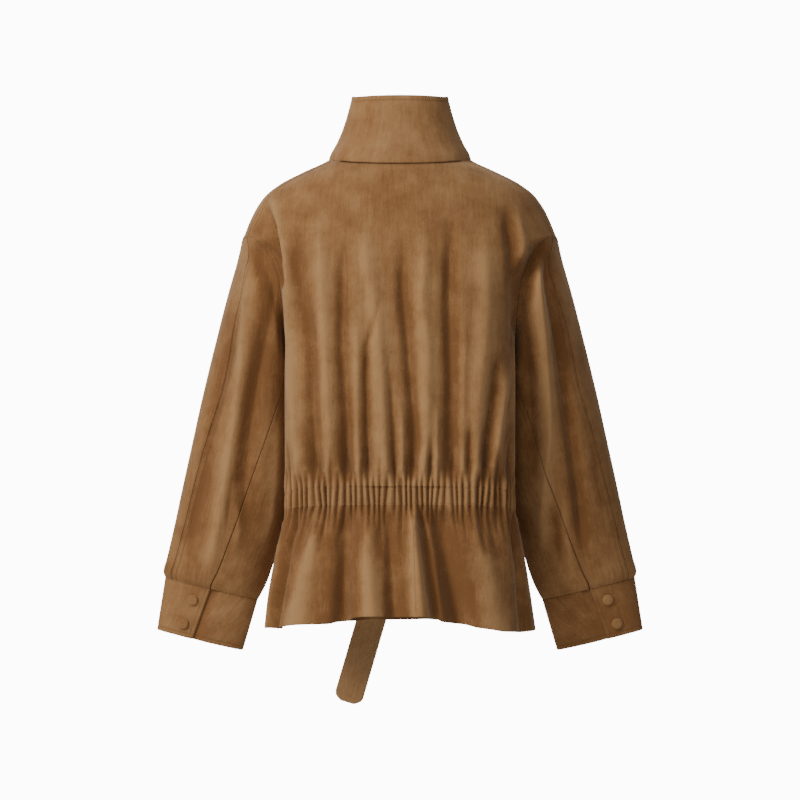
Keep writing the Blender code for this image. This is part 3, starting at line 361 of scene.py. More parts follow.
@dataclass(frozen=True)
class EdgeFinish:
    """How a piece's edge turns in, and the stitched rows that draw the cloth down beside it.

    Its depth and roll are the turn's size, its shade how dark the painted shade in the groove is and its
    groove where that fades; its rows are the stitched rows' distances from the edge, its draw how far a row
    sinks, its row_shade how dark the painted shade along a row is and its narrower how much narrower the dark
    is than the sunken row.
    """

    depth: float = 0.0009
    roll: float = 0.0022
    shade: float = 0.30
    rows: tuple[float, ...] = ()
    draw: float = 0.0003
    row_width: float = 0.0013
    row_shade: float = 0.20
    groove: tuple[float, float] = (0.0001, 0.0016)
    narrower: float = 0.7

    def turned(self, reach: Array) -> Array:
        """How far the finish sinks the cloth at these distances from the edge."""
        near = np.clip(1 - reach / self.roll, 0.0, 1.0)
        sunk = -self.depth * (1 - np.sqrt(1 - near**2))
        for row in self.rows:
            sunk = sunk - self.draw * bump(reach, row, self.row_width)
        return sunk

    def darkness(self, reach: Array) -> Array:
        """How dark the painted shade of the groove and the stitched rows is, from 0 to 1."""
        dark = self.shade * (1 - smooth(reach, *self.groove))
        for row in self.rows:
            width = self.row_width * self.narrower
            dark = np.maximum(dark, self.row_shade * bump(reach, row, width))
        return dark


# A finish's shade and row_shade are painted shade in its groove and along its stitched rows.
SEAM = EdgeFinish(depth=0.0006, roll=0.0016, shade=0.22)
NEAR_ROW = 0.0022
FAR_ROW = 0.0082
SEWN = replace(SEAM, rows=(NEAR_ROW,))
TWICE_SEWN = replace(SEAM, rows=(NEAR_ROW, FAR_ROW))
GATHERED = EdgeFinish(depth=0.0001, roll=0.0008, shade=0.03)
GATHERED_ROW = replace(GATHERED, rows=(0.0019,), draw=0.0004, row_shade=0.05)
FREE = EdgeFinish(depth=0.0007, roll=0.0020, shade=0.08)
STITCH_PROUD = 0.0002
SHARP_DEGREES = 50.0
# How much deeper the gathers' furrows are painted in shade than they sink.
GATHER_SHADE = 1.5


@dataclass
class Cloth:
    """A cloth piece as a grid: rows run from top to foot and columns from start to end."""

    base: Array
    normal: Array
    thickness: float
    lift: Array
    gather: Array | None = None
    inner_share: float = 0.55
    edges: dict[Edge, EdgeFinish] = field(default_factory=dict)
    # Painted light and shade that the suede reads in place of the raise, when given.
    tone: Array | None = None
    flat: tuple[Array, Array] | None = None

    def __post_init__(self) -> None:
        """Raise the cloth, turn its edges in and measure it."""
        if self.gather is None:
            self.gather = np.zeros(self.lift.shape)
        rough = self.base + self.normal * (self.lift + self.gather)[..., None]
        self.reach = self.distances(rough)
        self.turned = np.zeros(self.lift.shape)
        for edge, finish in self.edges.items():
            self.turned += finish.turned(self.reach[edge])
        self.points = rough + self.normal * self.turned[..., None]

    @staticmethod
    def distances(points: Array) -> dict[Edge, Array]:
        """How far each of a grid's points lies from each edge, along the cloth."""
        from_top = np.stack([run_lengths(column) for column in points.swapaxes(0, 1)], axis=1)
        from_start = np.stack([run_lengths(row) for row in points])
        return {
            Edge.TOP: from_top,
            Edge.FOOT: from_top[-1:] - from_top,
            Edge.START: from_start,
            Edge.END: from_start[:, -1:] - from_start,
        }

    def line(self, edge: Edge, inset: float, share: tuple[float, float] = (0.0, 1.0)) -> Array:
        """A line on the cloth beside an edge.

        Args:
            edge: The edge that the line follows.
            inset: How far from the edge it runs.
            share: The part of the edge that it follows.

        Returns:
            The line's points, a little proud of the cloth.
        """
        along_rows = edge in (Edge.TOP, Edge.FOOT)
        points = self.points if along_rows else self.points.swapaxes(0, 1)
        normals = self.normal if along_rows else self.normal.swapaxes(0, 1)
        reach = self.reach[edge] if along_rows else self.reach[edge].T
        if edge in (Edge.FOOT, Edge.END):
            points, normals, reach = points[::-1], normals[::-1], reach[::-1]
        count = points.shape[1]
        found = []
        for column in range(round(share[0] * (count - 1)), round(share[1] * (count - 1)) + 1):
            lengths = reach[:, column]
            place = [np.interp(inset, lengths, points[:, column, k]) for k in range(3)]
            out = [np.interp(inset, lengths, normals[:, column, k]) for k in range(3)]
            found.append(np.array(place) + np.array(out) * STITCH_PROUD)
        return np.array(found)

    def inner(self) -> Array:
        """The inner face's points."""
        depth = self.lift + self.gather * self.inner_share - self.thickness - 0.5 * self.turned
        return self.base + self.normal * depth[..., None]

    def mesh(self, name: str, outside: bpy.types.Material, inside: bpy.types.Material) -> bpy.types.Object:
        """Make the closed wall.

        Args:
            name: The piece's name.
            outside: The outer face's finish.
            inside: The inner face's finish.

        Returns:
            The piece.
        """
        rows, columns = self.lift.shape
        row_picks = sorted({*range(0, rows, 2), rows - 1})
        column_picks = sorted({*range(0, columns, 2), columns - 1})
        inner = self.inner()[np.ix_(row_picks, column_picks)]
        vertices = np.vstack((self.points.reshape(-1, 3), inner.reshape(-1, 3)))
        outer_at = np.arange(rows * columns).reshape(rows, columns)
        inner_at = rows * columns + np.arange(inner.shape[0] * inner.shape[1]).reshape(inner.shape[:2])
        outer_faces = self.cells(outer_at)
        inner_faces = self.cells(inner_at)[:, ::-1]
        rim = self.rim(outer_at, inner_at, row_picks, column_picks)
        if self.inward(outer_faces):
            outer_faces, inner_faces = outer_faces[:, ::-1], inner_faces[:, ::-1]
            rim = [face[::-1] for face in rim]
        faces = [*outer_faces.tolist(), *inner_faces.tolist(), *rim]
        mesh = bpy.data.meshes.new(name)
        mesh.from_pydata(vertices.tolist(), [], faces)
        mesh.materials.append(outside)
        mesh.materials.append(inside)
        finish = np.zeros(len(faces), np.int32)
        finish[len(outer_faces) : len(outer_faces) + len(inner_faces)] = 1
        mesh.polygons.foreach_set("material_index", finish)
        # The raise that the suede paints as light on ridges and shade in hollows; gathers get deeper painted
        # shade.
        relief = self.lift + self.gather * GATHER_SHADE if self.tone is None else self.tone
        # Painted shade in the seam grooves and along the stitched rows.
        seam = np.zeros(self.lift.shape)
        for edge, finish in self.edges.items():
            seam = np.maximum(seam, finish.darkness(self.reach[edge]))
        u, v = self.flat or (self.reach[Edge.START], self.reach[Edge.TOP])
        grids = [np.broadcast_to(grid, self.lift.shape) for grid in (relief, seam, u, v)]
        picks = np.ix_(row_picks, column_picks)
        paint(mesh, *(np.concatenate((grid.ravel(), grid[picks].ravel())) for grid in grids))
        mesh.update()
        mesh.shade_smooth()
        mesh.set_sharp_from_angle(angle=math.radians(SHARP_DEGREES))
        return placed(name, mesh)

    def inward(self, faces: Array) -> bool:
        """Whether the outer faces look inwards as they are ordered."""
        a, b, _, d = (self.points.reshape(-1, 3)[faces[:, k]] for k in range(4))
        facing = np.cross(b - a, d - a)
        normals = self.normal.reshape(-1, 3)[faces[:, 0]]
        return float((facing * normals).sum()) < 0

    @staticmethod
    def cells(at: Array) -> Array:
        """The four-sided cells between the points of a grid of indices."""
        return np.stack((at[:-1, :-1], at[1:, :-1], at[1:, 1:], at[:-1, 1:]), axis=-1).reshape(-1, 4)

    @staticmethod
    def rim(outer: Array, inner: Array, row_picks: list[int], column_picks: list[int]) -> list[list[int]]:
        """The faces that close a wall along its four edges.

        Args:
            outer: Indices of the outer face's points.
            inner: Indices of the inner face's points.
            row_picks: The outer rows that the inner face keeps.
            column_picks: The outer columns that it keeps.

        Returns:
            The faces.
        """
        faces = []
        edges = (
            (outer[0], inner[0], column_picks, False),
            (outer[-1], inner[-1], column_picks, True),
            (outer[:, 0], inner[:, 0], row_picks, True),
            (outer[:, -1], inner[:, -1], row_picks, False),
        )
        for outer_line, inner_line, picks, turned in edges:
            for k, (low, high) in enumerate(zip(picks, picks[1:])):
                face = [*outer_line[low : high + 1].tolist(), int(inner_line[k + 1]), int(inner_line[k])]
                faces.append(face[::-1] if turned else face)
        return faces


@dataclass(frozen=True)
class Cut:
    """A piece's flat cut: its width and length, its area and how it is held."""

    width: float
    length: float
    area: float
    hold: Hold = Hold.HUNG


# ---- The torso's form ----


@dataclass(frozen=True)
class Fold:
    """A long vertical fold, by its distance from the centre at its top and at the waist."""

    top: float
    waist: float
    start_z: float
    width: float
    height: float


@dataclass(frozen=True)
class Flute:
    """A wave of the peplum, by its distance from the centre under the waist and at the hem."""

    top: float
    hem: float
    top_width: float
    hem_width: float
    height: float


@dataclass(frozen=True)
class TorsoForm:
    """The smooth torso that the body's cloth hangs on; angle 0 is the wearer's left and pi/2 the back."""

    sections: tuple[tuple[float, ...], ...] = (
        (0.0150, 0.0850, 0.0000, -0.012, 0.048, -0.056, 2.0, 2.0),
        (0.0000, 0.1010, 0.0000, -0.010, 0.060, -0.064, 2.0, 2.0),
        (-0.0168, 0.1355, 0.0000, -0.008, 0.075, -0.074, 2.0, 2.0),
        (-0.0336, 0.1677, 0.0000, -0.006, 0.087, -0.084, 2.0, 2.0),
        (-0.0504, 0.1880, 0.0010, -0.005, 0.096, -0.092, 2.0, 2.0),
        (-0.0756, 0.2020, 0.0035, -0.004, 0.105, -0.103, 2.06, 2.02),
        (-0.1008, 0.2090, 0.0070, -0.002, 0.1115, -0.110, 2.14, 2.05),
        (-0.1150, 0.2105, 0.0110, 0.000, 0.1143, -0.114, 2.22, 2.08),
        (-0.1300, 0.2085, 0.0110, 0.002, 0.1166, -0.117, 2.32, 2.11),
        (-0.1480, 0.2020, 0.0060, 0.005, 0.1187, -0.120, 2.46, 2.15),
        (-0.1700, 0.1905, 0.0000, 0.008, 0.1202, -0.122, 2.66, 2.19),
        (-0.1960, 0.1770, 0.0000, 0.012, 0.121, -0.123, 2.9, 2.2),
        (-0.2250, 0.1660, 0.0000, 0.020, 0.121, -0.123, 3.1, 2.2),
        (-0.2620, 0.1590, 0.0000, 0.034, 0.120, -0.121, 3.3, 2.1),
        (-0.3000, 0.1595, 0.0000, 0.044, 0.118, -0.118, 3.2, 2.0),
        (-0.3400, 0.1595, 0.0000, 0.046, 0.114, -0.114, 3.1, 2.0),
        (-0.4000, 0.1595, 0.0000, 0.042, 0.108, -0.108, 3.0, 2.0),
        (-0.4540, 0.1600, 0.0000, 0.034, 0.103, -0.104, 2.8, 2.1),
        (-0.4900, 0.1610, 0.0000, 0.028, 0.102, -0.104, 2.6, 2.2),
        (-0.5300, 0.1690, 0.0000, 0.022, 0.108, -0.109, 2.5, 2.2),
        (-0.5800, 0.1780, 0.0000, 0.018, 0.116, -0.117, 2.4, 2.2),
        (-0.6600, 0.1900, 0.0000, 0.014, 0.124, -0.127, 2.4, 2.2),
    )
    side_seam: tuple[tuple[float, float], ...] = (
        (-0.262, -0.020), (-0.300, -0.036), (-0.340, -0.044), (-0.490, -0.032), (-0.660, -0.026),
    )
    sunk_from: tuple[float, float] = (12.0, 48.0)
    sunk_until: tuple[float, float] = (176.0, 146.0)
    dip_start: float = 0.40
    dip_foot: float = -0.160
    tip_sharpness: float = 10.0
    seam_set_back: float = 0.028
    armhole_mid_z: float = -0.1855
    armhole_half_height: float = 0.0765
    armhole_half_depth: float = 0.062
    underarm_forward: float = 0.020
    sink: float = 0.0190
    normal_step: float = 0.0002
    path_steps: int = 200

    @cached_property
    def curves(self) -> dict[str, Curve]:
        """The sections' columns as curves of the height."""
        names = ("half_width", "tip_gain", "side_y", "back_y", "front_y", "back_power", "front_power")
        return Curve.columns(self.sections, *names)

    @cached_property
    def seam_curve(self) -> Curve:
        """The side seam's place, measured behind the widest point."""
        return Curve(*zip(*self.side_seam))

    @property
    def armhole_top(self) -> float:
        """The height of the armhole's top."""
        return self.armhole_mid_z + self.armhole_half_height

    @property
    def underarm(self) -> float:
        """The height of the armhole's lowest point."""
        return self.armhole_mid_z - self.armhole_half_height

    def half(self, z: Array, behind: Array) -> tuple[Array, Array]:
        """The depth and the power of the section's back or front half.

        Args:
            z: Heights.
            behind: Whether each place is on the back half.

        Returns:
            The depths from the widest point, and the powers.
        """
        curves = self.curves
        reach = np.where(behind, curves["back_y"](z), curves["front_y"](z))
        power = np.where(behind, curves["back_power"](z), curves["front_power"](z))
        return np.abs(reach - curves["side_y"](z)), power

    def point(self, angle: Array, z: Array) -> Array:
        """Points of the smooth torso at these angles and heights."""
        angle, z = np.broadcast_arrays(np.asarray(angle, float), np.asarray(z, float))
        across, along = np.cos(angle), np.sin(angle)
        depth, power = self.half(z, along >= 0)
        x = self.curves["half_width"](z) * np.sign(across) * np.abs(across) ** (2 / power)
        x = x + np.sign(across) * self.curves["tip_gain"](z) * np.abs(across) ** self.tip_sharpness
        y = self.curves["side_y"](z) + depth * np.sign(along) * np.abs(along) ** (2 / power)
        return np.stack((x, y, z), axis=-1)

    def inside(self, points: Array) -> Array:
        """Less than 1 inside the torso and more outside it."""
        x, y, z = np.moveaxis(points, -1, 0)
        side_y = self.curves["side_y"](z)
        depth, power = self.half(z, y >= side_y)
        return np.abs(x / self.curves["half_width"](z)) ** power + np.abs((y - side_y) / depth) ** power

    def normal(self, points: Array) -> Array:
        """The torso's outward normals at its points."""
        steps = np.eye(3) * self.normal_step
        rises = [self.inside(points + step) - self.inside(points - step) for step in steps]
        return unit(np.stack(rises, axis=-1))

    def angle_at(self, z: Array, offset: Array) -> Array:
        """The angle on the left side where the torso lies this far behind its widest point."""
        z, offset = np.broadcast_arrays(np.asarray(z, float), np.asarray(offset, float))
        depth, power = self.half(z, offset >= 0)
        return np.sign(offset) * np.arcsin(np.clip(np.abs(offset) / depth, 0.0, 1.0) ** (power / 2))

    def front_angle(self, z: Array, x: float) -> Array:
        """The angle in front at this x, for a left piece; a negative x is past the centre front."""
        share = (abs(x) / self.curves["half_width"](z)) ** (self.curves["front_power"](z) / 2)
        return -math.pi / 2 + math.copysign(1.0, x) * np.arcsin(share)

    def armhole(self, turn: Array) -> tuple[Array, Array]:
        """The left armhole's angle and height; turn 0 is its top and pi/2 its back."""
        top_share = (1 + np.cos(turn)) / 2
        z = mix(self.underarm, self.armhole_top, top_share)
        offset = mix(-self.underarm_forward, self.seam_set_back, top_share)
        return self.angle_at(z, offset + self.armhole_half_depth * np.sin(turn)), z

    def seam_sink(self, turn: Array, distance: Array, reach: float) -> Array:
        """How far the cloth beside the left armhole's back sinks into the fold that hides its seam.

        Args:
            turn: Places round the armhole.
            distance: Distance from the seam along the cloth.
            reach: How wide the fold is on this side of the seam.

        Returns:
            The sink at each place.
        """
        behind = smooth(np.degrees(turn), *self.sunk_from) * smooth(np.degrees(turn), *self.sunk_until)
        return self.sink * behind * np.exp(-((distance / reach) ** 2))

    def side_turn(self, z: Array) -> Array:
        """The turn round the armhole at this height, on the back's side."""
        return np.arccos(np.clip((z - self.armhole_mid_z) / self.armhole_half_height, -1.0, 1.0))

    def side_edge(self, z: Array) -> Array:
        """The angle of the left shoulder seam, armhole or side seam at this height, on the back's side."""
        z = np.asarray(z, float)
        at_armhole = self.armhole(self.side_turn(z))[0]
        at_shoulder = self.angle_at(z, self.seam_set_back)
        below = np.where(z > self.underarm, at_armhole, self.angle_at(z, self.seam_curve(z)))
        return np.where(z >= self.armhole_top, at_shoulder, below)

    def back_path(self, z_side: Array, z_mid: Array, overlap: Any = 0.0) -> tuple[Array, Array]:
        """Rows from the left side seam round the back to the right one.

        Args:
            z_side: The rows' heights at the sides, as a column.
            z_mid: Their heights at the centre back.
            overlap: How far they run past the side seams, in radians.

        Returns:
            Angles and heights, rows by steps.
        """
        edge = self.side_edge(z_side) - overlap
        return mix(edge, math.pi - edge, self.steps), mix(z_mid, z_side, (2 * self.steps - 1) ** 2)

    def front_path(self, angle: Array, z: Array, lap: Array) -> tuple[Array, Array]:
        """Rows from their outer ends to the lap.

        Args:
            angle: The outer ends' angles.
            z: Their heights.
            lap: The rows' heights at the lap.

        Returns:
            Angles and heights, rows by steps.
        """
        late = self.dip_start * smooth(lap, self.dip_foot, -NECK_FRONT_DROP)[:, None]
        t = np.clip((self.steps - late) / (1 - late), 0.0, 1.0)
        end = self.front_angle(lap, -LAP)[:, None]
        return mix(angle[:, None], end, self.steps), mix(z[:, None], lap[:, None], eased(t))

    def lay(self, angles: Array, heights: Array, fractions: Array) -> tuple[Array, Array, Array]:
        """Lay a grid on the torso, spaced evenly by cloth length along each row's path.

        Args:
            angles: Each row's path, rows by steps.
            heights: Each row's heights, rows by steps.
            fractions: Places along a row from 0 to 1.

        Returns:
            The points, their normals and, as a column, each row's whole length.
        """
        points = self.point(angles, heights)
        angles = np.broadcast_to(angles, heights.shape)
        found, totals = [], []
        for row, angle, height in zip(points, angles, heights):
            lengths = run_lengths(row)
            wanted = SEAM_GAP / 2 + (lengths[-1] - SEAM_GAP) * fractions
            found.append((np.interp(wanted, lengths, angle), np.interp(wanted, lengths, height)))
            totals.append(lengths[-1])
        angle, z = np.moveaxis(np.array(found), 1, 0)
        base = self.point(angle, z)
        return base, self.normal(base), np.array(totals)[:, None]

    @property
    def steps(self) -> Array:
        """Even steps from 0 to 1 along a row's path."""
        return np.linspace(0.0, 1.0, self.path_steps + 1)


CASING_TOP_MID = -0.4536
CASING_TOP_SIDE = -0.4704
CASING_FOOT_MID = -0.4795
CASING_FOOT_SIDE = -0.4935
WAIST_FRONT_DROP = 0.002
SIDE_HEM_Z = -0.6560
FRONT_HEM_Z = -0.6520
NECK_FRONT_DROP = 0.045
NECK_BACK_DROP = 0.0103
FRONT_ROWS = (0.0024, 0.030)
LAP = 0.0175
LAP_EASE = 0.022
LAP_FLAT = 0.002
SIDE_EASE = (0.98125, 0.85)
TORSO = TorsoForm()


def lap_dip(side: Side, x: Array, depth: float) -> Array:
    """How far the left layer dips under the right one near the centre front.

    Args:
        side: Whose layer it is.
        x: The cloth's distance from the centre, as on the left side.
        depth: The full dip.

    Returns:
        The dip at each place.
    """
    if side is Side.RIGHT:
        return np.zeros(np.shape(x))
    return depth * smooth(x, LAP + LAP_EASE, LAP + LAP_FLAT)


def off_side(z: Array, x: Array) -> Array:
    """1 over a front and 0 at its side seam."""
    return smooth(x / TORSO.curves["half_width"](z), *SIDE_EASE)


def off_lap(x: Array) -> Array:
    """1 over a front and 0 over its lap."""
    return smooth(x, LAP + LAP_FLAT, LAP + LAP_EASE)


def mirrored(points: Array, side: Side) -> Array:
    """The points, or on the right side their mirror image."""
    return points * np.array((side.value, 1.0, 1.0))


@dataclass(frozen=True)
class FoldSet:
    """The vertical folds of a bodice piece and how they grow and calm."""

    folds: tuple[Fold, ...]
    foot_z: float
    growth: float = 0.100
    drift_top: float = -0.200
    calm_rise: float = 0.030

    def lift(self, length: Array, z: Array, kept: float, calm_foot: float) -> Array:
        """How far the folds raise or sink the cloth.

        Args:
            length: Cloth length from the centre, positive to the wearer's left.
            z: Heights.
            kept: The share of the folds that is left at the waist.
            calm_foot: The height where the calming ends.

        Returns:
            The lift at each place.
        """
        calm = mix(kept, 1.0, smooth(z, calm_foot, calm_foot + self.calm_rise))
        total = np.zeros(np.shape(length))
        for fold in self.folds:
            half_grown = fold.start_z - self.growth
            grown = (smooth(z, fold.start_z, half_grown) + smooth(z, half_grown, self.foot_z)) / 2
            centre = mix(fold.top, fold.waist, smooth(z, self.drift_top, self.foot_z))
            total += fold.height * grown * calm * bump(length, centre, fold.width)
        return total

    def in_band(self, length: Array) -> Array:
        """How far the folds raise the casing and the top of the peplum."""
        at_foot = np.full(np.shape(length), self.foot_z)
        return FOLD_KEPT_IN_BAND**2 * self.lift(length, at_foot, 1.0, -1.0)


BACK_FOLDS = FoldSet(
    folds=(
        Fold(0.165, 0.160, -0.110, 0.0090, 0.0040),
        Fold(0.034, 0.025, -0.170, 0.0240, 0.0030),
        Fold(-0.045, -0.037, -0.150, 0.0240, 0.0030),
        Fold(-0.168, -0.160, -0.110, 0.0090, 0.0040),
    ),
    foot_z=CASING_TOP_SIDE,
)
FRONT_FOLDS = FoldSet(
    folds=(
        Fold(0.060, 0.052, -0.240, 0.0150, 0.0040),
        Fold(0.084, 0.073, -0.220, 0.0120, -0.0030),
        Fold(0.108, 0.095, -0.180, 0.0150, 0.0050),
        Fold(0.150, 0.138, -0.280, 0.0150, 0.0045),
    ),
    foot_z=-0.420,
)
FOLD_KEPT_IN_BAND = 0.35


@dataclass(frozen=True)
class Gathers:
    """The gathers of the elastic casing, by the furrows between them.

    A furrow's row is its place across as seen from behind, how far it runs up the back and leans there, and
    how far it runs down the peplum and leans there, all in millimetres and towards the wearer's left.
    """

    furrows: tuple[tuple[float, ...], ...] = (
        (159.3, 35, 0, 48, 7), (153.7, 70, 1, 45, 6), (145.3, 22, 0, 70, 13), (138.3, 38, 0, 42, 4),
        (131.3, 25, 0, 54, 4), (121.5, 95, -3, 75, 15), (113.1, 48, -4, 42, 3), (104.7, 22, 0, 66, 1),
        (96.3, 58, -1, 42, 1), (86.5, 22, 0, 45, 1), (76.7, 95, -4, 85, 8), (68.3, 42, 1, 66, -3),
        (61.3, 22, 0, 32, 0), (52.9, 38, -1, 62, -4), (44.5, 95, 0, 42, 0), (36.1, 25, -1, 32, -1),
        (27.7, 60, -1, 70, -6), (17.9, 22, 0, 42, 0), (6.7, 90, 1, 32, 0), (-1.7, 22, 0, 72, -1),
        (-8.7, 42, -1, 32, 0), (-15.7, 95, -3, 28, 0), (-24.1, 30, 0, 85, -13), (-31.1, 22, 0, 32, 0),
        (-39.5, 70, -3, 28, 0), (-46.5, 30, 0, 60, -7), (-54.9, 38, 0, 32, 0), (-63.3, 52, -1, 58, -1),
        (-73.1, 95, 0, 72, -6), (-80.1, 30, 0, 42, 0), (-88.5, 22, 0, 54, 0), (-98.3, 78, 1, 35, 0),
        (-109.5, 25, 0, 72, -3), (-117.9, 95, 0, 42, 0), (-126.3, 30, 0, 77, -3), (-134.7, 58, -1, 42, 0),
        (-141.7, 30, 0, 54, -3), (-151.5, 95, -3, 80, -13),
    )
    side_spacing: float = 0.0076
    depth: float = 0.0062
    narrow: float = 0.33
    wide: float = 0.20
    wide_by_run: float = 0.095
    sharpness: float = 1.4
    taper: float = 0.72
    side_more: float = 0.25
    side_from: float = 0.22
    strengths: tuple[float, float] = (0.80, 1.15)
    spacings: tuple[float, float] = (0.8, 1.2)
    side_runs: tuple[float, float] = (10.0, 45.0)
    stray: float = 0.0012
    skew: tuple[tuple[float, float, float], ...] = ((0.0034, 7.0, 1.0), (0.0022, 13.0, 0.3))
    swell: float = 0.0018
    swell_reach: float = 0.034
    # Painted light on the swelled cloth by the casing, as a rise.
    pale_rise: float = 0.0028
    samples: int = 2001
    seed: int = 12

    @cached_property
    def rows(self) -> Array:
        """Each furrow's place, gather width, strength, runs, leans and end widths."""
        z_side = np.array([[(CASING_TOP_SIDE + CASING_FOOT_SIDE) / 2]])
        z_mid = (CASING_TOP_MID + CASING_FOOT_MID) / 2
        fractions = np.linspace(0.0, 1.0, self.samples)
        base, _, totals = TORSO.lay(*TORSO.back_path(z_side, z_mid), fractions)
        total = totals[0, 0]
        across, _ = seen(base[0])
        back = slice(int(across.argmax()), int(across.argmin()) + 1)
        table = np.array(self.furrows)
        found = np.interp(-table[:, 0], -across[back], fractions[back])
        share = self.side_spacing / total
        rng = np.random.default_rng(self.seed)
        rows = [(place, *row[1:]) for place, row in zip(found, table)]
        for start, way in ((found[0], -1), (found[-1], 1)):
            place = start + way * share * rng.uniform(*self.spacings)
            while share / 2 < place < 1 - share / 2:
                rows.append((place, rng.uniform(*self.side_runs), 0.0, rng.uniform(*self.side_runs), 0.0))
                place += way * share * rng.uniform(*self.spacings)
        rows = np.array(sorted(rows))
        edges = np.concatenate(([0.0], rows[:, 0], [1.0]))
        widths = (edges[2:] - edges[:-2]) / 2
        strays = rng.uniform(-self.stray, self.stray, (len(rows), 2))
        runs, leans = rows[:, (1, 3)] * MM, (rows[:, (2, 4)] * MM + strays) / total
        wide = widths[:, None] * self.wide + runs * self.wide_by_run / total
        outer = np.abs(rows[:, 0] - 0.5) > self.side_from
        strength = rng.uniform(*self.strengths, len(rows)) * (1 + self.side_more * outer)
        return np.column_stack((rows[:, 0], widths, strength, runs, leans, wide))

    def skewed(self, fraction: Array, down: Array) -> Array:
        """Places across the back, moved aside as the gathers slant down the casing.

        Args:
            fraction: Places across the back.
            down: The share of the casing's depth.

        Returns:
            The moved places.
        """
        turns = ((size, 2 * np.pi * (count * fraction + start)) for size, count, start in self.skew)
        aside = sum(size * np.sin(turn) for size, turn in turns)
        return fraction + aside * down

    def paler(self, away: Array) -> Array:
        """How much painted light brightens the swelled cloth, as a rise, by its distance from the casing."""
        return self.pale_rise * (1 - smooth(away, 0.0, self.swell_reach))

    def lift(self, fraction: Array, away: Array, above: bool) -> Array:
        """How far the gathers raise the cloth.

        Args:
            fraction: Places across the back.
            away: Distance from the casing, 0 on it.
            above: Whether the cloth is above the casing or below it.

        Returns:
            The lift at each place.
        """
        total = self.swell * (1 - smooth(away, 0.0, self.swell_reach))
        side = 0 if above else 1
        for place, width, strength, *ways in self.rows:
            run, lean, wide = ways[side], ways[2 + side], ways[4 + side]
            share = np.clip(away / run, 0.0, 1.0)
            reach = mix(width * self.narrow, wide, share)
            near = np.exp(-((np.abs(fraction - place + lean * share) / reach) ** self.sharpness))
            total = total - self.depth * strength * (1 - share) ** self.taper * near
        return total


GATHERS = Gathers()


# ---- Shader and geometry graphs ----


class Graph:
    """Adds nodes to a tree: their settings first, then the values or links of their sockets."""

    def __init__(self, tree: bpy.types.NodeTree) -> None:
        """Work on a tree."""
        self.tree = tree

    def node(
        self,
        kind: str,
        settings: Mapping[str, Any] | None = None,
        inputs: Mapping[str | int, Any] | None = None,
    ) -> bpy.types.Node:
        """Add one node.

        Args:
            kind: The node's type.
            settings: Its own settings.
            inputs: Values, sockets or wrapped values for its inputs.

        Returns:
            The node.
        """
        node = self.tree.nodes.new(kind)
        for key, value in (settings or {}).items():
            setattr(node, key, value)
        for key, value in (inputs or {}).items():
            if isinstance(value, Value):
                value = value.socket
            if isinstance(value, bpy.types.NodeSocket):
                self.tree.links.new(value, node.inputs[key])
            else:
                node.inputs[key].default_value = value
        return node

    def painted(self, name: str) -> Value:
        """A value painted on the mesh."""
        return Value(self, self.node("ShaderNodeAttribute", {"attribute_name": name}).outputs["Fac"])


class Value:
    """A number socket whose arithmetic adds Math nodes."""

    def __init__(self, graph: Graph, socket: bpy.types.NodeSocket) -> None:
        """Wrap a socket of a graph."""
        self.graph = graph
        self.socket = socket

    def _math(self, operation: str, *operands: Any) -> Value:
        """Add a Math node of these operands."""
        node = self.graph.node("ShaderNodeMath", {"operation": operation}, dict(enumerate(operands)))
        return Value(self.graph, node.outputs[0])

    def __add__(self, other: Any) -> Value:
        """The sum."""
        return self._math("ADD", self, other)

    __radd__ = __add__

    def __sub__(self, other: Any) -> Value:
        """The difference."""
        return self._math("SUBTRACT", self, other)

    def __rsub__(self, other: Any) -> Value:
        """The difference from a number."""
        return self._math("SUBTRACT", other, self)

    def __mul__(self, other: Any) -> Value:
        """The product."""
        return self._math("MULTIPLY", self, other)

    __rmul__ = __mul__

    def ranged(self, low: float, high: float, kind: str = "SMOOTHSTEP") -> Value:
        """0 at low and 1 at high.

        Args:
            low: Where the result is 0.
            high: Where the result is 1.
            kind: How it runs between them.

        Returns:
            The new value.
        """
        settings = {"interpolation_type": kind}
        node = self.graph.node("ShaderNodeMapRange", settings, {0: self, 1: low, 2: high})
        return Value(self.graph, node.outputs[0])


Colour = tuple[float, float, float]


@dataclass(frozen=True)
class Layer:
    """A layer of noise round 0: its share, its patches a metre, or across and down, and its detail."""

    share: float
    scale: float | tuple[float, float]
    detail: float = 3.0
    rough: float = 0.55

    def value(self, graph: Graph, place: Any, cloth: Any) -> Value:
        """Add the layer to a material.

        Args:
            graph: The material's graph.
            place: Object coordinates.
            cloth: Coordinates along the cloth.

        Returns:
            The layer, from about minus half its share to half its share.
        """
        scale = self.scale
        if isinstance(scale, tuple):
            settings = {"vector_type": "POINT"}
            inputs = {"Vector": cloth, "Scale": (*scale, 1.0)}
            place = graph.node("ShaderNodeMapping", settings, inputs).outputs[0]
            scale = 1.0
        inputs = {"Vector": place, "Scale": scale, "Detail": self.detail, "Roughness": self.rough}
        noise = graph.node("ShaderNodeTexNoise", {"noise_dimensions": "3D"}, inputs)
        return (Value(graph, noise.outputs["Fac"]) - 0.5) * self.share


TONES = (
    Layer(0.75, 9.0, 2.0),
    Layer(0.98, 34.0, 4.0, 0.62),
    Layer(0.46, (210.0, 15.0), 4.0, 0.6),
    Layer(0.44, (620.0, 80.0), 3.0, 0.6),
    Layer(0.50, 850.0, 2.0, 0.6),
)
NAP = (Layer(0.16, (1500.0, 420.0), 2.0), Layer(0.24, 620.0, 3.0, 0.65))
RUMPLE = Layer(0.9, (90.0, 38.0), 3.0, 0.5)
MARKS = Layer(1.0, 42.0, 4.0, 0.7)
MARK_EDGE = (0.14, 0.27)
MARKED_SPOTS = Layer(1.0, 12.0, 1.0)
SPOT_EDGE = (-0.04, 0.10)
MARK_DEPTH = 0.42


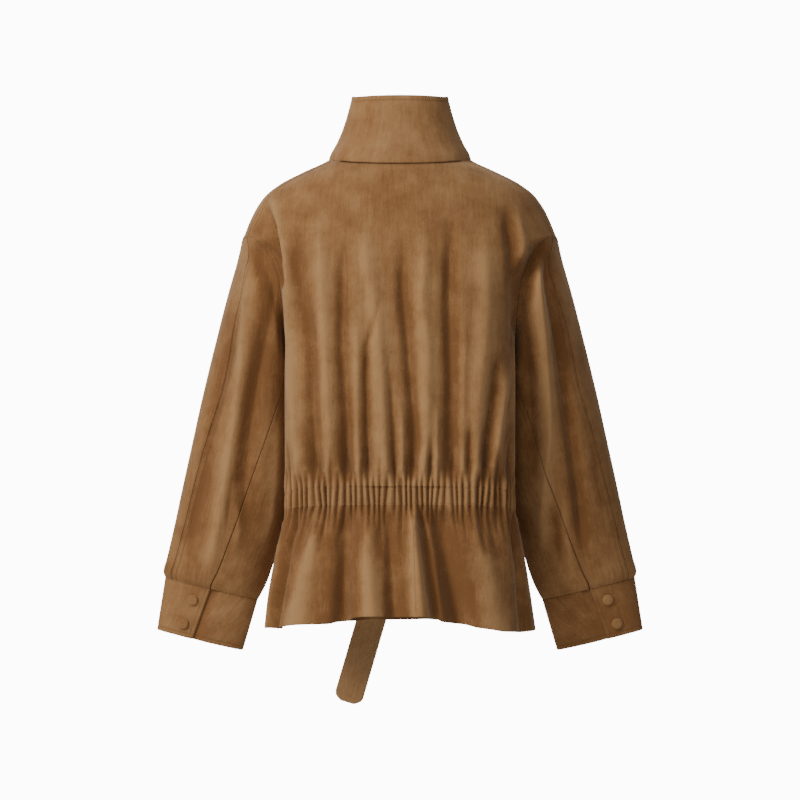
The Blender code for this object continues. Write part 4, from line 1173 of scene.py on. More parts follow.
@dataclass(frozen=True)
class Suede:
    """Napped suede: soft patches, brushed streaks, small dark marks, painted light on ridges and painted
    shade in hollows.
    """

    pale: Colour
    mid: Colour
    deep: Colour
    # How far a raise or sink goes to full painted light or shade, and how much of the ramp that spans.
    relief_reach: float = 4.5
    relief_share: float = 0.74
    ramp: tuple[float, float, float] = (0.08, 0.5, 0.92)
    nap: float = 0.5
    sheen_tint: Colour = (1.0, 0.78, 0.56)
    constants: tuple[tuple[str, float], ...] = (
        ("Roughness", 0.93),
        ("Specular IOR Level", 0.16),
        ("Sheen Weight", 0.28),
        ("Sheen Roughness", 0.45),
    )

    def material(self, name: str) -> bpy.types.Material:
        """Build the finish.

        Args:
            name: The material's name.

        Returns:
            The material.
        """
        material = bpy.data.materials.new(name)
        material.use_nodes = True
        graph = Graph(material.node_tree)
        shader = material.node_tree.nodes["Principled BSDF"]
        place = graph.node("ShaderNodeTexCoord").outputs["Object"]
        cloth = graph.node("ShaderNodeUVMap", {"uv_map": "cloth"}).outputs[0]
        colour = self.colour(graph, place, cloth)
        height = sum(layer.value(graph, place, cloth) for layer in NAP) * self.nap
        height = height + RUMPLE.value(graph, place, cloth)
        bumped = graph.node("ShaderNodeBump", None, {"Strength": 1.0, "Distance": MM, "Height": height})
        graph.tree.links.new(colour, shader.inputs["Base Color"])
        graph.tree.links.new(bumped.outputs[0], shader.inputs["Normal"])
        for socket, value in (*self.constants, ("Sheen Tint", (*self.sheen_tint, 1.0))):
            shader.inputs[socket].default_value = value
        material.diffuse_color = (*self.mid, 1.0)
        return material

    def colour(self, graph: Graph, place: Any, cloth: Any) -> bpy.types.NodeSocket:
        """The base colour: the suede's own tone and marks, with painted light on ridges and painted shade
        in hollows and seam grooves.

        Args:
            graph: The material's graph.
            place: Object coordinates.
            cloth: Coordinates along the cloth.

        Returns:
            A colour socket.
        """
        # Painted light on ridges and painted shade in hollows, with the suede's own patchy tone.
        ridge = graph.painted("relief").ranged(-self.relief_reach, self.relief_reach) - 0.5
        tone = 0.5 + ridge * self.relief_share + sum(layer.value(graph, place, cloth) for layer in TONES)
        ramp = graph.node("ShaderNodeValToRGB", None, {"Fac": tone.ranged(0.0, 1.0, "LINEAR")})
        stops = ramp.color_ramp.elements
        stops.new(self.ramp[1])
        for stop, position, colour in zip(stops, self.ramp, (self.deep, self.mid, self.pale)):
            stop.position, stop.color = position, (*colour, 1.0)
        marks = MARKS.value(graph, place, cloth).ranged(*MARK_EDGE)
        marks = marks * MARKED_SPOTS.value(graph, place, cloth).ranged(*SPOT_EDGE)
        # The suede's own dark marks, and painted shade in the seam grooves.
        shade = 1 - marks * MARK_DEPTH - graph.painted("seam")
        settings = {"operation": "SCALE"}
        return graph.node("ShaderNodeVectorMath", settings, {0: ramp.outputs[0], "Scale": shade}).outputs[0]


@dataclass(frozen=True)
class PlainFinish:
    """A plain finish with a faint variation: thread, or the floor."""

    colour: Colour
    other: Colour
    scale: float
    roughness: float
    gloss: float = 0.2

    def material(self, name: str) -> bpy.types.Material:
        """Build the finish.

        Args:
            name: The material's name.

        Returns:
            The material.
        """
        material = bpy.data.materials.new(name)
        material.use_nodes = True
        graph = Graph(material.node_tree)
        shader = material.node_tree.nodes["Principled BSDF"]
        place = graph.node("ShaderNodeTexCoord").outputs["Object"]
        inputs = {"Vector": place, "Scale": self.scale, "Detail": 2.0}
        noise = graph.node("ShaderNodeTexNoise", None, inputs)
        inputs = {0: noise.outputs["Fac"], 6: (*self.colour, 1.0), 7: (*self.other, 1.0)}
        mixed = graph.node("ShaderNodeMix", {"data_type": "RGBA"}, inputs)
        graph.tree.links.new(mixed.outputs[2], shader.inputs["Base Color"])
        shader.inputs["Roughness"].default_value = self.roughness
        shader.inputs["Specular IOR Level"].default_value = self.gloss
        material.diffuse_color = (*self.colour, 1.0)
        return material


class Finish(Enum):
    """The finishes that the pieces share, by their materials' names."""

    SUEDE = "body_suede"
    PALE = "pale_suede"
    INSIDE = "reverse_suede"
    THREAD = "thread"
    FLOOR = "floor_paint"


FINISHES = {
    Finish.SUEDE: Suede((0.350, 0.192, 0.082), (0.262, 0.130, 0.049), (0.170, 0.074, 0.024)),
    Finish.PALE: Suede((0.380, 0.215, 0.098), (0.292, 0.150, 0.060), (0.200, 0.090, 0.031)),
    Finish.INSIDE: Suede((0.230, 0.120, 0.050), (0.180, 0.088, 0.033), (0.130, 0.058, 0.020), nap=0.3),
    Finish.THREAD: PlainFinish((0.270, 0.140, 0.056), (0.340, 0.185, 0.080), 400.0, 0.6),
    Finish.FLOOR: PlainFinish((0.86, 0.86, 0.86), (0.84, 0.84, 0.84), 2.0, 0.9),
}
Wardrobe = dict[Finish, bpy.types.Material]


# ---- Stitches ----


@dataclass(frozen=True)
class StitchRows:
    """Rows of stitches laid along lines on the cloth."""

    pitch: float = 0.0031
    length: float = 0.0023
    thickness: float = 0.00048
    sides: int = 4
    profile: tuple[tuple[float, float], ...] = ((-0.5, 0.30), (-0.25, 0.96), (0.25, 0.96), (0.5, 0.30))
    unevenness: float = 0.10
    seed: int = 4

    def stitch(self) -> bpy.types.Object:
        """One stitch along X: a short thread that dips at its ends."""
        turns = [2 * math.pi * k / self.sides for k in range(self.sides)]
        rings = []
        for along, size in self.profile:
            half = self.thickness / 2 * size
            rings.append([(along * self.length, math.cos(t) * half, math.sin(t) * half) for t in turns])
        return placed("stitch", closed_form("stitch", rings))

    def tree(self, stitch: bpy.types.Object, thread: bpy.types.Material) -> bpy.types.NodeTree:
        """The node tree that sets stitches along edges.

        Args:
            stitch: The stitch's shape.
            thread: The thread's finish.

        Returns:
            The tree, with named inputs for its sizes.
        """
        tree = bpy.data.node_groups.new("stitch_rows", "GeometryNodeTree")
        tree.interface.new_socket("Geometry", in_out="INPUT", socket_type="NodeSocketGeometry")
        for name, kind in (("Pitch", "Float"), ("Unevenness", "Float"), ("Seed", "Int")):
            tree.interface.new_socket(name, in_out="INPUT", socket_type=f"NodeSocket{kind}")
        tree.interface.new_socket("Geometry", in_out="OUTPUT", socket_type="NodeSocketGeometry")
        graph = Graph(tree)
        given = graph.node("NodeGroupInput").outputs
        line = graph.node("GeometryNodeMeshToCurve", None, {"Mesh": given["Geometry"]}).outputs[0]
        inputs = {"Curve": line, "Length": given["Pitch"]}
        even = graph.node("GeometryNodeResampleCurve", {"mode": "LENGTH"}, inputs).outputs[0]
        tangent = graph.node("GeometryNodeInputTangent").outputs[0]
        inputs = {"Vector": tangent}
        aligned = graph.node("FunctionNodeAlignEulerToVector", {"axis": "X"}, inputs).outputs[0]
        spread = Value(graph, given["Unevenness"])
        inputs = {2: 1.0 - spread, 3: 1.0 + spread, "Seed": given["Seed"]}
        size = graph.node("FunctionNodeRandomValue", {"data_type": "FLOAT"}, inputs).outputs[1]
        shape = graph.node("GeometryNodeObjectInfo", None, {"Object": stitch}).outputs["Geometry"]
        inputs = {"Points": even, "Instance": shape, "Rotation": aligned, "Scale": size}
        laid = graph.node("GeometryNodeInstanceOnPoints", None, inputs).outputs[0]
        real = graph.node("GeometryNodeRealizeInstances", None, {"Geometry": laid}).outputs[0]
        inputs = {"Geometry": real, "Material": thread}
        dressed = graph.node("GeometryNodeSetMaterial", None, inputs).outputs[0]
        graph.node("NodeGroupOutput", None, {0: dressed})
        return tree

    def sew(self, name: str, lines: Sequence[Array], thread: bpy.types.Material) -> bpy.types.Object:
        """Sew rows of stitches and bake them to a plain mesh.

        Args:
            name: The piece's name.
            lines: Lines on the cloth.
            thread: The thread's finish.

        Returns:
            The stitches.
        """
        points, edges = [], []
        for line in lines:
            first = len(points)
            points.extend(line.tolist())
            edges.extend((first + k, first + k + 1) for k in range(len(line) - 1))
        mesh = bpy.data.meshes.new(name + "_lines")
        mesh.from_pydata(points, edges, [])
        guide = placed(name + "_lines", mesh)
        stitch = self.stitch()
        tree = self.tree(stitch, thread)
        modifier = guide.modifiers.new("sewn", "NODES")
        modifier.node_group = tree
        values = {"Pitch": self.pitch, "Unevenness": self.unevenness, "Seed": self.seed}
        for item in tree.interface.items_tree:
            if item.in_out == "INPUT" and item.name in values:
                modifier[item.identifier] = values[item.name]
        guide.update_tag()
        bpy.context.view_layer.update()
        ready = guide.evaluated_get(bpy.context.evaluated_depsgraph_get())
        baked = bpy.data.meshes.new_from_object(ready)
        baked.name = name
        guide.modifiers.remove(modifier)
        for helper in (guide, stitch):
            bpy.data.objects.remove(helper, do_unlink=True)
        bpy.data.node_groups.remove(tree)
        if not baked.materials:
            baked.materials.append(thread)
        return placed(name, baked)


STITCHES = StitchRows()


@dataclass
class Part:
    """A sub-assembly of the jacket, cut and sewn from the shared finishes."""

    wardrobe: Wardrobe
    slot: ClassVar[str] = "body_suede"
    outside: ClassVar[Finish] = Finish.SUEDE
    inside: ClassVar[Finish] = Finish.INSIDE

    def dress(self, piece: bpy.types.Object, node: str = "", cut: Cut | None = None) -> None:
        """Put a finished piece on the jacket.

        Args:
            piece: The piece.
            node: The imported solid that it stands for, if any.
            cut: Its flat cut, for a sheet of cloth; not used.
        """
        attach(piece, ROOT)
        if node:
            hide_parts(node)
        log.info("%s: %d faces", piece.name, len(piece.data.polygons))

    def sheet(self, name: str, cloth: Cloth, node: str, cut: Cut) -> None:
        """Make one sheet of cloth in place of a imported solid.

        Args:
            name: The piece's name.
            cloth: Its grid.
            node: The solid's name.
            cut: Its flat cut.
        """
        piece = cloth.mesh(name, self.wardrobe[self.outside], self.wardrobe[self.inside])
        self.dress(piece, node, cut)

    def sew(self, name: str, lines: Sequence[Array]) -> None:
        """Sew rows of stitches along lines on the cloth."""
        self.dress(STITCHES.sew(name, lines, self.wardrobe[Finish.THREAD]))


# ---- Bodice ----


@dataclass
class BackBodice(Part):
    """The back in one piece, with deep folds that break up into gathers above the casing."""

    cut: Cut = Cut(0.45, 0.49, 0.215)
    corner_reach: tuple[float, float] = (0.020, 0.050)
    edge_flat: float = 0.85
    rows: Spacing = Spacing(0.0042, 0.0008, (0.012, 0.070))
    columns: Spacing = Spacing(0.00088, 0.0004, (0.006, 0.006))
    width: float = 0.36
    armhole_fine: float = 0.016
    samples: int = 4000
    shoulder_angle: float = 1.0
    shoulder_start: float = 0.005
    centre_rises: tuple[tuple[float, float], ...] = (
        (-SEAM_GAP / 2, -NECK_BACK_DROP), (-0.018, 0.0), (-0.262, 0.0), (-0.300, 0.0), (-0.340, 0.002),
        (-0.377, 0.004), (-0.412, 0.006),
    )
    arched: tuple[float, ...] = (0.026, 0.009, 0.0)
    seam_ease: float = 0.010
    fold_reach: float = 0.011
    creases: tuple[Crease, ...] = (
        Crease(((185, -45), (176, -64), (168, -95), (162, -133), (157, -182), (152, -245), (150, -336),
                (145, -399), (138, -457)), 6.0, 5.2, 1.9, (0.06, 0.07)),
        Crease(((190, -56), (180, -92), (174, -125), (169, -154), (165, -182)),
               6.0, -10.0, 1.8, (0.3, 0.1)),
        Crease(((202, -60), (192, -92), (185, -120), (178, -150)), 13.0, -7.0, 1.8, (0.4, 0.1)),
        Crease(((145, -87), (143, -134), (141, -161), (138, -189), (131, -217), (126, -252), (123, -294),
                (123, -350), (120, -406), (115, -457)), 9.5, -6.8, 1.8, (0.15, 0.08)),
        Crease(((117, -64), (110, -140), (108, -189), (105, -245), (102, -308), (99, -364), (99, -406),
                (102, -457)), 9.5, 5.0, 1.9, (0.28, 0.08)),
        Crease(((73, -90), (80, -143), (81, -196), (81, -266), (77, -322), (74, -378), (74, -420),
                (71, -457)), 8.5, -6.8, 1.8, (0.22, 0.08)),
        Crease(((53, -73), (46, -143), (38, -182), (32, -224), (28, -266), (25, -322), (22, -378),
                (18, -457)), 10.5, 4.8, 1.9, (0.26, 0.08)),
        Crease(((60, -210), (60, -266), (60, -336), (60, -392), (57, -457)), 6.5, 3.4, 1.9, (0.25, 0.12)),
        Crease(((21, -174), (35, -224), (46, -260), (47, -301), (46, -350), (46, -399), (45, -457)),
               5.6, -5.4, 1.7, (0.42, 0.1)),
        Crease(((1, -87), (-3, -143), (-4, -189), (-9, -238), (-13, -287), (-17, -329), (-21, -371),
                (-24, -399), (-17, -457)), 8.5, -7.0, 1.8, (0.32, 0.08)),
        Crease(((3, -325), (-3, -371), (-3, -420), (-3, -457)), 5.5, 4.2, 1.9, (0.4, 0.23)),
        Crease(((18, -259), (14, -315), (11, -371), (10, -420), (7, -457)), 5.0, -4.6, 1.7, (0.45, 0.15)),
        Crease(((-34, -64), (-34, -151), (-31, -196), (-37, -245), (-39, -280), (-38, -336), (-38, -392),
                (-30, -457)), 10.0, 5.0, 1.9, (0.28, 0.08)),
        Crease(((-52, -330), (-52, -378), (-52, -457)), 5.0, 3.0, 1.9, (0.4, 0.24)),
        Crease(((-45, -378), (-44, -414), (-41, -457)), 3.8, -3.8, 1.6, (0.5, 0.38)),
        Crease(((-74, -56), (-70, -133), (-69, -196), (-70, -266), (-72, -329), (-70, -392), (-73, -457)),
               9.5, -7.6, 1.8, (0.28, 0.07)),
        Crease(((-116, -64), (-121, -154), (-121, -210), (-118, -266), (-109, -329), (-108, -392),
                (-105, -457)), 13.0, 5.0, 1.9, (0.28, 0.08)),
        Crease(((-90, -182), (-90, -266), (-88, -336), (-87, -457)), 6.0, 2.4, 1.9, (0.35, 0.11)),
        Crease(((-101, -353), (-97, -399), (-95, -457)), 4.2, -4.4, 1.6, (0.5, 0.29)),
        Crease(((-149, -260), (-137, -286), (-132, -322), (-126, -364), (-122, -406), (-118, -457)),
               6.2, -6.6, 1.7, (0.22, 0.15)),
        Crease(((-154, -283), (-149, -322), (-143, -357), (-137, -399), (-128, -457)),
               6.6, 4.6, 1.8, (0.25, 0.17)),
        Crease(((-140, -56), (-151, -87), (-158, -126), (-160, -182), (-158, -252), (-161, -301),
                (-158, -350), (-157, -406), (-153, -457)), 8.5, -8.0, 1.8, (0.16, 0.07)),
        Crease(((-157, -50), (-165, -76), (-172, -112), (-174, -154), (-170, -196)),
               6.5, 3.4, 1.8, (0.35, 0.35)),
        Crease(((127, -109), (112, -102), (94, -104)), 2.2, -0.8, 1.6, (0.3, 0.4)),
        Crease(((143, -108), (137, -106), (131, -109)), 2.4, -0.8, 1.6, (0.3, 0.3)),
        Crease(((67, -102), (50, -99), (33, -102)), 2.2, -0.6, 1.6, (0.4, 0.4)),
        Crease(((-67, -67), (-81, -64), (-98, -67)), 2.6, -0.7, 1.6, (0.4, 0.4)),
        Crease(((98, -45), (47, -39), (-14, -45)), 4.0, -0.6, 1.6, (0.4, 0.4)),
        Crease(((-28, -76), (-65, -71), (-98, -78)), 4.0, -0.6, 1.6, (0.4, 0.4)),
        Crease(((157, -73), (134, -78), (103, -76)), 4.0, -0.6, 1.6, (0.4, 0.4)),
    )

    def build(self) -> None:
        """Make the piece and its stitches."""
        cloth = self.cloth()
        self.sheet("back", cloth, "back_bodice", self.cut)
        shoulder = (self.shoulder_start, float((self.levels > TORSO.armhole_top).mean()))
        lines = [cloth.line(Edge.TOP, NEAR_ROW)]
        for inset in (NEAR_ROW, FAR_ROW):
            lines += [cloth.line(edge, inset, shoulder) for edge in (Edge.START, Edge.END)]
        self.sew("back_stitches", lines)

    @cached_property
    def levels(self) -> Array:
        """The rows' heights at the sides, from the neck seam to the casing."""
        dense = np.linspace(-SEAM_GAP / 2, CASING_TOP_SIDE - SEAM_GAP / 2, self.samples)
        lengths = run_lengths(TORSO.point(self.shoulder_angle, dense))
        ends = np.interp((-TORSO.armhole_top, -TORSO.underarm), -dense, lengths)
        near = tuple((float(end), self.armhole_fine) for end in ends)
        return np.interp(self.rows.shares(float(lengths[-1]), near) * lengths[-1], lengths, dense)

    def rises(self) -> Array:
        """How much higher each row stands at the centre back than at the sides."""
        arch = CASING_TOP_MID - CASING_TOP_SIDE
        foot = CASING_TOP_SIDE - SEAM_GAP / 2
        arched = [(foot + height, arch) for height in self.arched]
        return Curve(*zip(*self.centre_rises, *arched))(self.levels)

    def cloth(self) -> Cloth:
        """Lay the grid and raise its folds."""
        z_side = self.levels[:, None]
        fractions = self.columns.shares(self.width)
        paths = TORSO.back_path(z_side, z_side + self.rises()[:, None])
        base, normal, totals = TORSO.lay(*paths, fractions)
        z = base[..., 2]
        length = (0.5 - fractions) * totals
        from_seam = totals * np.minimum(fractions, 1 - fractions)
        inside = smooth(np.abs(base[..., 0]) / TORSO.curves["half_width"](z), 1.0, self.edge_flat)
        corner = smooth(base[..., 1] - TORSO.curves["side_y"](z), *self.corner_reach)
        held = np.maximum(inside, corner) * smooth(from_seam, 0.0, self.seam_ease)
        folds = BACK_FOLDS.lift(length, z, FOLD_KEPT_IN_BAND, CASING_TOP_SIDE)
        lift = (folds + creased(self.creases, base, normal)) * held
        sunk = TORSO.seam_sink(TORSO.side_turn(z_side), from_seam, self.fold_reach)
        base[..., 1] -= sunk
        away = np.abs(z - z[-1:])
        gather = GATHERS.lift(fractions, away, True)
        # Painted light on ridges and by the casing, painted shade in hollows, furrows and the fold at the
        # armhole seam.
        tone = lift + gather * GATHER_SHADE - sunk / 2 + GATHERS.paler(away)
        edges = {Edge.TOP: SEWN, Edge.START: TWICE_SEWN, Edge.END: TWICE_SEWN, Edge.FOOT: GATHERED}
        return Cloth(base, normal, CLOTH, lift, gather, edges=edges, tone=tone, flat=(length, z))


@dataclass
class Fronts(Part):
    """The two fronts; the right one laps over the left one."""

    cut: Cut = Cut(0.26, 0.49, 0.120)
    row_step: float = 0.0118
    samples: int = 3000
    shoulder_levels: tuple[float, ...] = (-0.0180, -0.0340, -0.0520, -0.0756, -0.1008)
    side_levels: tuple[float, ...] = (-0.300, -0.340, -0.377, -0.412)
    armhole_turns: tuple[float, ...] = (-20, -40, -60, -80, -100, -124, -150, -180)
    waist_rises: tuple[float, ...] = (0.026, 0.009, 0.0)
    rows: Spacing = Spacing(0.0036, 0.0008, (0.010, 0.030))
    columns: Spacing = Spacing(0.0024, 0.0006, (0.008, 0.010))
    width: float = 0.24
    folds_kept: float = 0.25
    creases: tuple[Crease, ...] = (
        Crease(((150, -150), (120, -190), (95, -260)), 8.0, -1.6, 1.7, (0.4, 0.4), Face.FRONT),
        Crease(((128, -215), (112, -300), (104, -400)), 7.0, -1.5, 1.7, (0.3, 0.3), Face.FRONT),
        Crease(((66, -330), (60, -400), (58, -464)), 5.0, -1.6, 1.6, (0.5, 0.1), Face.FRONT),
        Crease(((95, -380), (90, -430), (88, -466)), 5.0, -1.5, 1.6, (0.5, 0.1), Face.FRONT),
        Crease(((120, -350), (118, -410), (114, -467)), 5.0, -1.7, 1.6, (0.5, 0.1), Face.FRONT),
    )

    @cached_property
    def starts(self) -> tuple[Array, Array, Array]:
        """The rows' outer ends, as angle and height, and their heights at the lap."""
        top = -SEAM_GAP / 2
        foot = CASING_TOP_SIDE + SEAM_GAP / 2
        shoulder = [top, *self.shoulder_levels, TORSO.armhole_top]
        sides = [TORSO.underarm, *self.side_levels, *(foot + rise for rise in self.waist_rises)]
        first = len(shoulder) - 1
        last = first + len(self.armhole_turns)
        count = last + len(sides)
        turn_of = Curve(range(first, last + 1), np.radians([0.0, *self.armhole_turns]))
        shoulder_of = Curve(range(first + 1), shoulder)
        side_of = Curve(range(last, count), sides)
        row = np.linspace(0.0, count - 1, self.samples)
        at_armhole = (row >= first) & (row <= last)
        arm_angle, arm_z = TORSO.armhole(turn_of(row))
        plain_z = np.where(row < first, shoulder_of(row), side_of(row))
        z = np.where(at_armhole, arm_z, plain_z)
        angle = np.where(at_armhole, arm_angle, TORSO.side_edge(plain_z))
        exact = [*shoulder, *TORSO.armhole(np.radians(self.armhole_turns))[1], *sides[1:]]
        laps = [min(z0, -NECK_FRONT_DROP - SEAM_GAP / 2 - self.row_step * i) for i, z0 in enumerate(exact)]
        lengths = run_lengths(TORSO.point(angle, z))
        wanted = self.rows.shares(float(lengths[-1])) * lengths[-1]
        columns = (angle, z, Curve(range(count), laps)(row))
        return tuple(np.interp(wanted, lengths, values) for values in columns)

    def cloth(self, side: Side) -> Cloth:
        """Lay one front's grid.

        Args:
            side: Left or right.

        Returns:
            The cloth.
        """
        fractions = self.columns.shares(self.width)
        base, normal, totals = TORSO.lay(*TORSO.front_path(*self.starts), fractions)
        z = base[..., 2]
        length = (1 - fractions) * totals - LAP
        folds = FRONT_FOLDS.lift(length, z, self.folds_kept, CASING_TOP_SIDE)
        free = off_side(z, base[..., 0]) * off_lap(base[..., 0])
        lift = (folds + creased(self.creases, base, normal)) * free
        lift = lift - lap_dip(side, base[..., 0], CLOTH + LAYER_GAP)
        edges = {Edge.TOP: SEWN, Edge.START: SEAM, Edge.FOOT: SEAM, Edge.END: FREE}
        base, normal = mirrored(base, side), mirrored(normal, side)
        return Cloth(base, normal, CLOTH, lift, edges=edges, flat=(length, z))

    def build(self) -> None:
        """Make both fronts and their stitches."""
        for side in Side:
            cloth = self.cloth(side)
            self.sheet(f"front_panel_{side.label}", cloth, f"front_{side.label}", self.cut)
            lines = [cloth.line(Edge.END, inset) for inset in FRONT_ROWS]
            self.sew(f"front_stitches_{side.label}", [*lines, cloth.line(Edge.TOP, NEAR_ROW)])


# ---- Collar ----


@dataclass
class StandCollar(Part):
    """The tall stand collar, from the neck seam up, from its left end round the back to its right one."""

    cut: Cut = Cut(0.50, 0.11, 0.052)
    top_back_z: float = 0.0870
    top_front_z: float = 0.0905
    half_widths: tuple[tuple[float, float], ...] = (
        (0.00, 0.1010), (0.10, 0.0985), (0.30, 0.0885), (0.50, 0.0805), (0.70, 0.0745), (0.90, 0.0695),
        (1.00, 0.0675),
    )
    top_back_y: float = 0.046
    top_front_y: float = -0.058
    front_back: tuple[float, float] = (-0.2, 0.6)
    lean: float = 0.25
    neck_gap: float = 0.0009
    shoulder_tuck: float = -0.0032
    tuck_reach: tuple[float, float] = (0.70, 0.92)
    rows: Spacing = Spacing(0.0026, 0.0006, (0.012, 0.006))
    columns: Spacing = Spacing(0.0022, 0.0006, (0.008, 0.008))
    drop: float = 0.09
    width: float = 0.46
    top_edge: EdgeFinish = EdgeFinish(0.0010, 0.0026, 0.05, (0.0072,))
    end_row: float = 0.0060
    slot: ClassVar[str] = "collar_suede"
    outside: ClassVar[Finish] = Finish.PALE
    inside: ClassVar[Finish] = Finish.PALE

    def neck(self, angle: Array) -> Array:
        """The neck seam's points at these left-side angles."""
        seam = float(TORSO.angle_at(0.0, TORSO.seam_set_back))
        back_share = np.clip((math.pi / 2 - angle) / (math.pi / 2 - seam), 0.0, 1.0)
        front_share = np.clip((seam - angle) / (seam - self.end_angle), 0.0, 1.0)
        dip = -NECK_FRONT_DROP * smooth(front_share, TORSO.dip_start, 1.0)
        z = np.where(angle >= seam, mix(-NECK_BACK_DROP, 0.0, back_share**2), dip)
        return TORSO.point(angle, z)

    @cached_property
    def end_angle(self) -> float:
        """The angle of the collar's ends."""
        return float(TORSO.front_angle(-NECK_FRONT_DROP, -LAP))

    def cloth(self) -> Cloth:
        """Lay the collar's grid."""
        shares = 1 - self.rows.shares(self.drop)[:, None]
        fraction = self.columns.shares(self.width)[None]
        widths = Curve(*zip(*self.half_widths))
        wide, narrow = float(widths(0.0)), float(widths(1.0))
        flare = (widths(shares) - narrow) / (wide - narrow)
        angle = mix(math.pi / 2, self.end_angle, np.abs(1 - 2 * fraction))
        low = self.neck(angle)
        low[..., 2] += mix(self.neck_gap, self.shoulder_tuck, smooth(np.cos(angle), *self.tuck_reach))
        mid_y = (self.top_back_y + self.top_front_y) / 2
        reach = (self.top_back_y - self.top_front_y) / 2
        top_z = mix(self.top_front_z, self.top_back_z, smooth(np.sin(angle), *self.front_back))
        top = np.stack((narrow * np.cos(angle), mid_y + reach * np.sin(angle), top_z), axis=-1)
        base = mix(top, low, flare[..., None])
        base[..., 2] = mix(low[..., 2], top[..., 2], shares)
        away = unit(np.stack((np.cos(angle), np.sin(angle), np.full(angle.shape, self.lean)), axis=-1))
        away = np.broadcast_to(away, base.shape)
        under = (fraction < 0.5) & (angle < 0)
        dip = np.where(under, lap_dip(Side.LEFT, base[..., 0], DOUBLE_CLOTH + LAYER_GAP), 0.0)
        turn = np.where(fraction < 0.5, 1.0, -1.0)[..., None]
        flip = np.concatenate((turn, np.ones_like(turn), np.ones_like(turn)), axis=-1)
        edges = {Edge.TOP: self.top_edge, Edge.FOOT: SEAM, Edge.START: FREE, Edge.END: FREE}
        flat = (fraction * self.cut.width, base[..., 2])
        return Cloth(base * flip, away * flip, DOUBLE_CLOTH, -dip, edges=edges, flat=flat)

    def build(self) -> None:
        """Make the collar and its topstitching."""
        cloth = self.cloth()
        self.sheet("stand_collar", cloth, "collar", self.cut)
        ends = [cloth.line(edge, self.end_row) for edge in (Edge.START, Edge.END)]
        self.sew("collar_stitches", [cloth.line(Edge.TOP, self.top_edge.rows[0]), *ends])


# ---- Waist ----


@dataclass
class Waist(Part):
    """The elastic casing across the back and the plain band across each front."""

    back_cut: Cut = Cut(0.60, 0.031, 0.0186, Hold.GATHERED)
    front_cut: Cut = Cut(0.24, 0.028, 0.0058)
    depth: float = 0.0245
    band_depth: float = 0.023
    band_width: float = 0.21
    rows: Spacing = Spacing(0.0010, 0.0005, (0.004, 0.004))
    columns: int = 640
    band_rows: Spacing = Spacing(0.0016, 0.0005, (0.004, 0.004))
    band_columns: Spacing = Spacing(0.0026, 0.0006, (0.008, 0.008))
    band_row_inset: float = 0.0018
    row_inset: float = 0.0019
    swell_power: float = 0.6
    swell: float = 0.0004
    pinch: float = 0.12
    tone_share: float = 1.4

    def casing(self) -> Cloth:
        """Lay the gathered casing's grid."""
        down = self.rows.shares(self.depth)[:, None]
        edge = SEAM_GAP / 2 * (1 - 2 * down)
        z_mid = mix(CASING_TOP_MID, CASING_FOOT_MID, down) - edge
        z_side = mix(CASING_TOP_SIDE, CASING_FOOT_SIDE, down) - edge
        fractions = np.linspace(0.0, 1.0, self.columns)
        base, normal, totals = TORSO.lay(*TORSO.back_path(z_side, z_mid), fractions)
        length = (0.5 - fractions) * totals
        lift = BACK_FOLDS.in_band(length) + self.swell * np.sin(np.pi * down) ** self.swell_power
        gather = GATHERS.lift(GATHERS.skewed(fractions[None], down), np.zeros(lift.shape), True)
        drop = np.minimum(down, 1 - down) * self.depth
        gather = gather * (1 - self.pinch * bump(drop, self.row_inset, self.row_inset))
        edges = {Edge.TOP: GATHERED_ROW, Edge.FOOT: GATHERED_ROW}
        # Painted shade in the gathers' furrows and painted light over the whole casing.
        tone = gather * self.tone_share + GATHERS.pale_rise
        flat = (length, base[..., 2])
        return Cloth(base, normal, CASING_CLOTH, lift, gather, edges=edges, tone=tone, flat=flat)

    def band(self, side: Side) -> Cloth:
        """Lay one front band's grid.

        Args:
            side: Left or right.

        Returns:
            The cloth.
        """
        down = self.band_rows.shares(self.band_depth)
        z = mix(CASING_TOP_SIDE, CASING_FOOT_SIDE, down) - SEAM_GAP / 2 * (1 - 2 * down)
        paths = TORSO.front_path(TORSO.side_edge(z), z, z - WAIST_FRONT_DROP * down)
        base, normal, _ = TORSO.lay(*paths, self.band_columns.shares(self.band_width))
        lift = -lap_dip(side, base[..., 0], DOUBLE_CLOTH + LAYER_GAP)
        edges = {Edge.TOP: SEAM, Edge.FOOT: SEAM, Edge.START: SEAM, Edge.END: FREE}
        return Cloth(mirrored(base, side), mirrored(normal, side), DOUBLE_CLOTH, lift, edges=edges)

    def build(self) -> None:
        """Make the casing, the front bands and their stitches."""
        casing = self.casing()
        self.sheet("elastic_casing", casing, "waist_back", self.back_cut)
        lines = [casing.line(edge, self.row_inset) for edge in (Edge.TOP, Edge.FOOT)]
        for side in Side:
            band = self.band(side)
            self.sheet(f"waistband_{side.label}", band, f"waist_front_{side.label}", self.front_cut)
            lines += [band.line(edge, self.band_row_inset) for edge in (Edge.TOP, Edge.FOOT)]
        self.sew("waist_stitches", lines)


# ---- Peplum ----


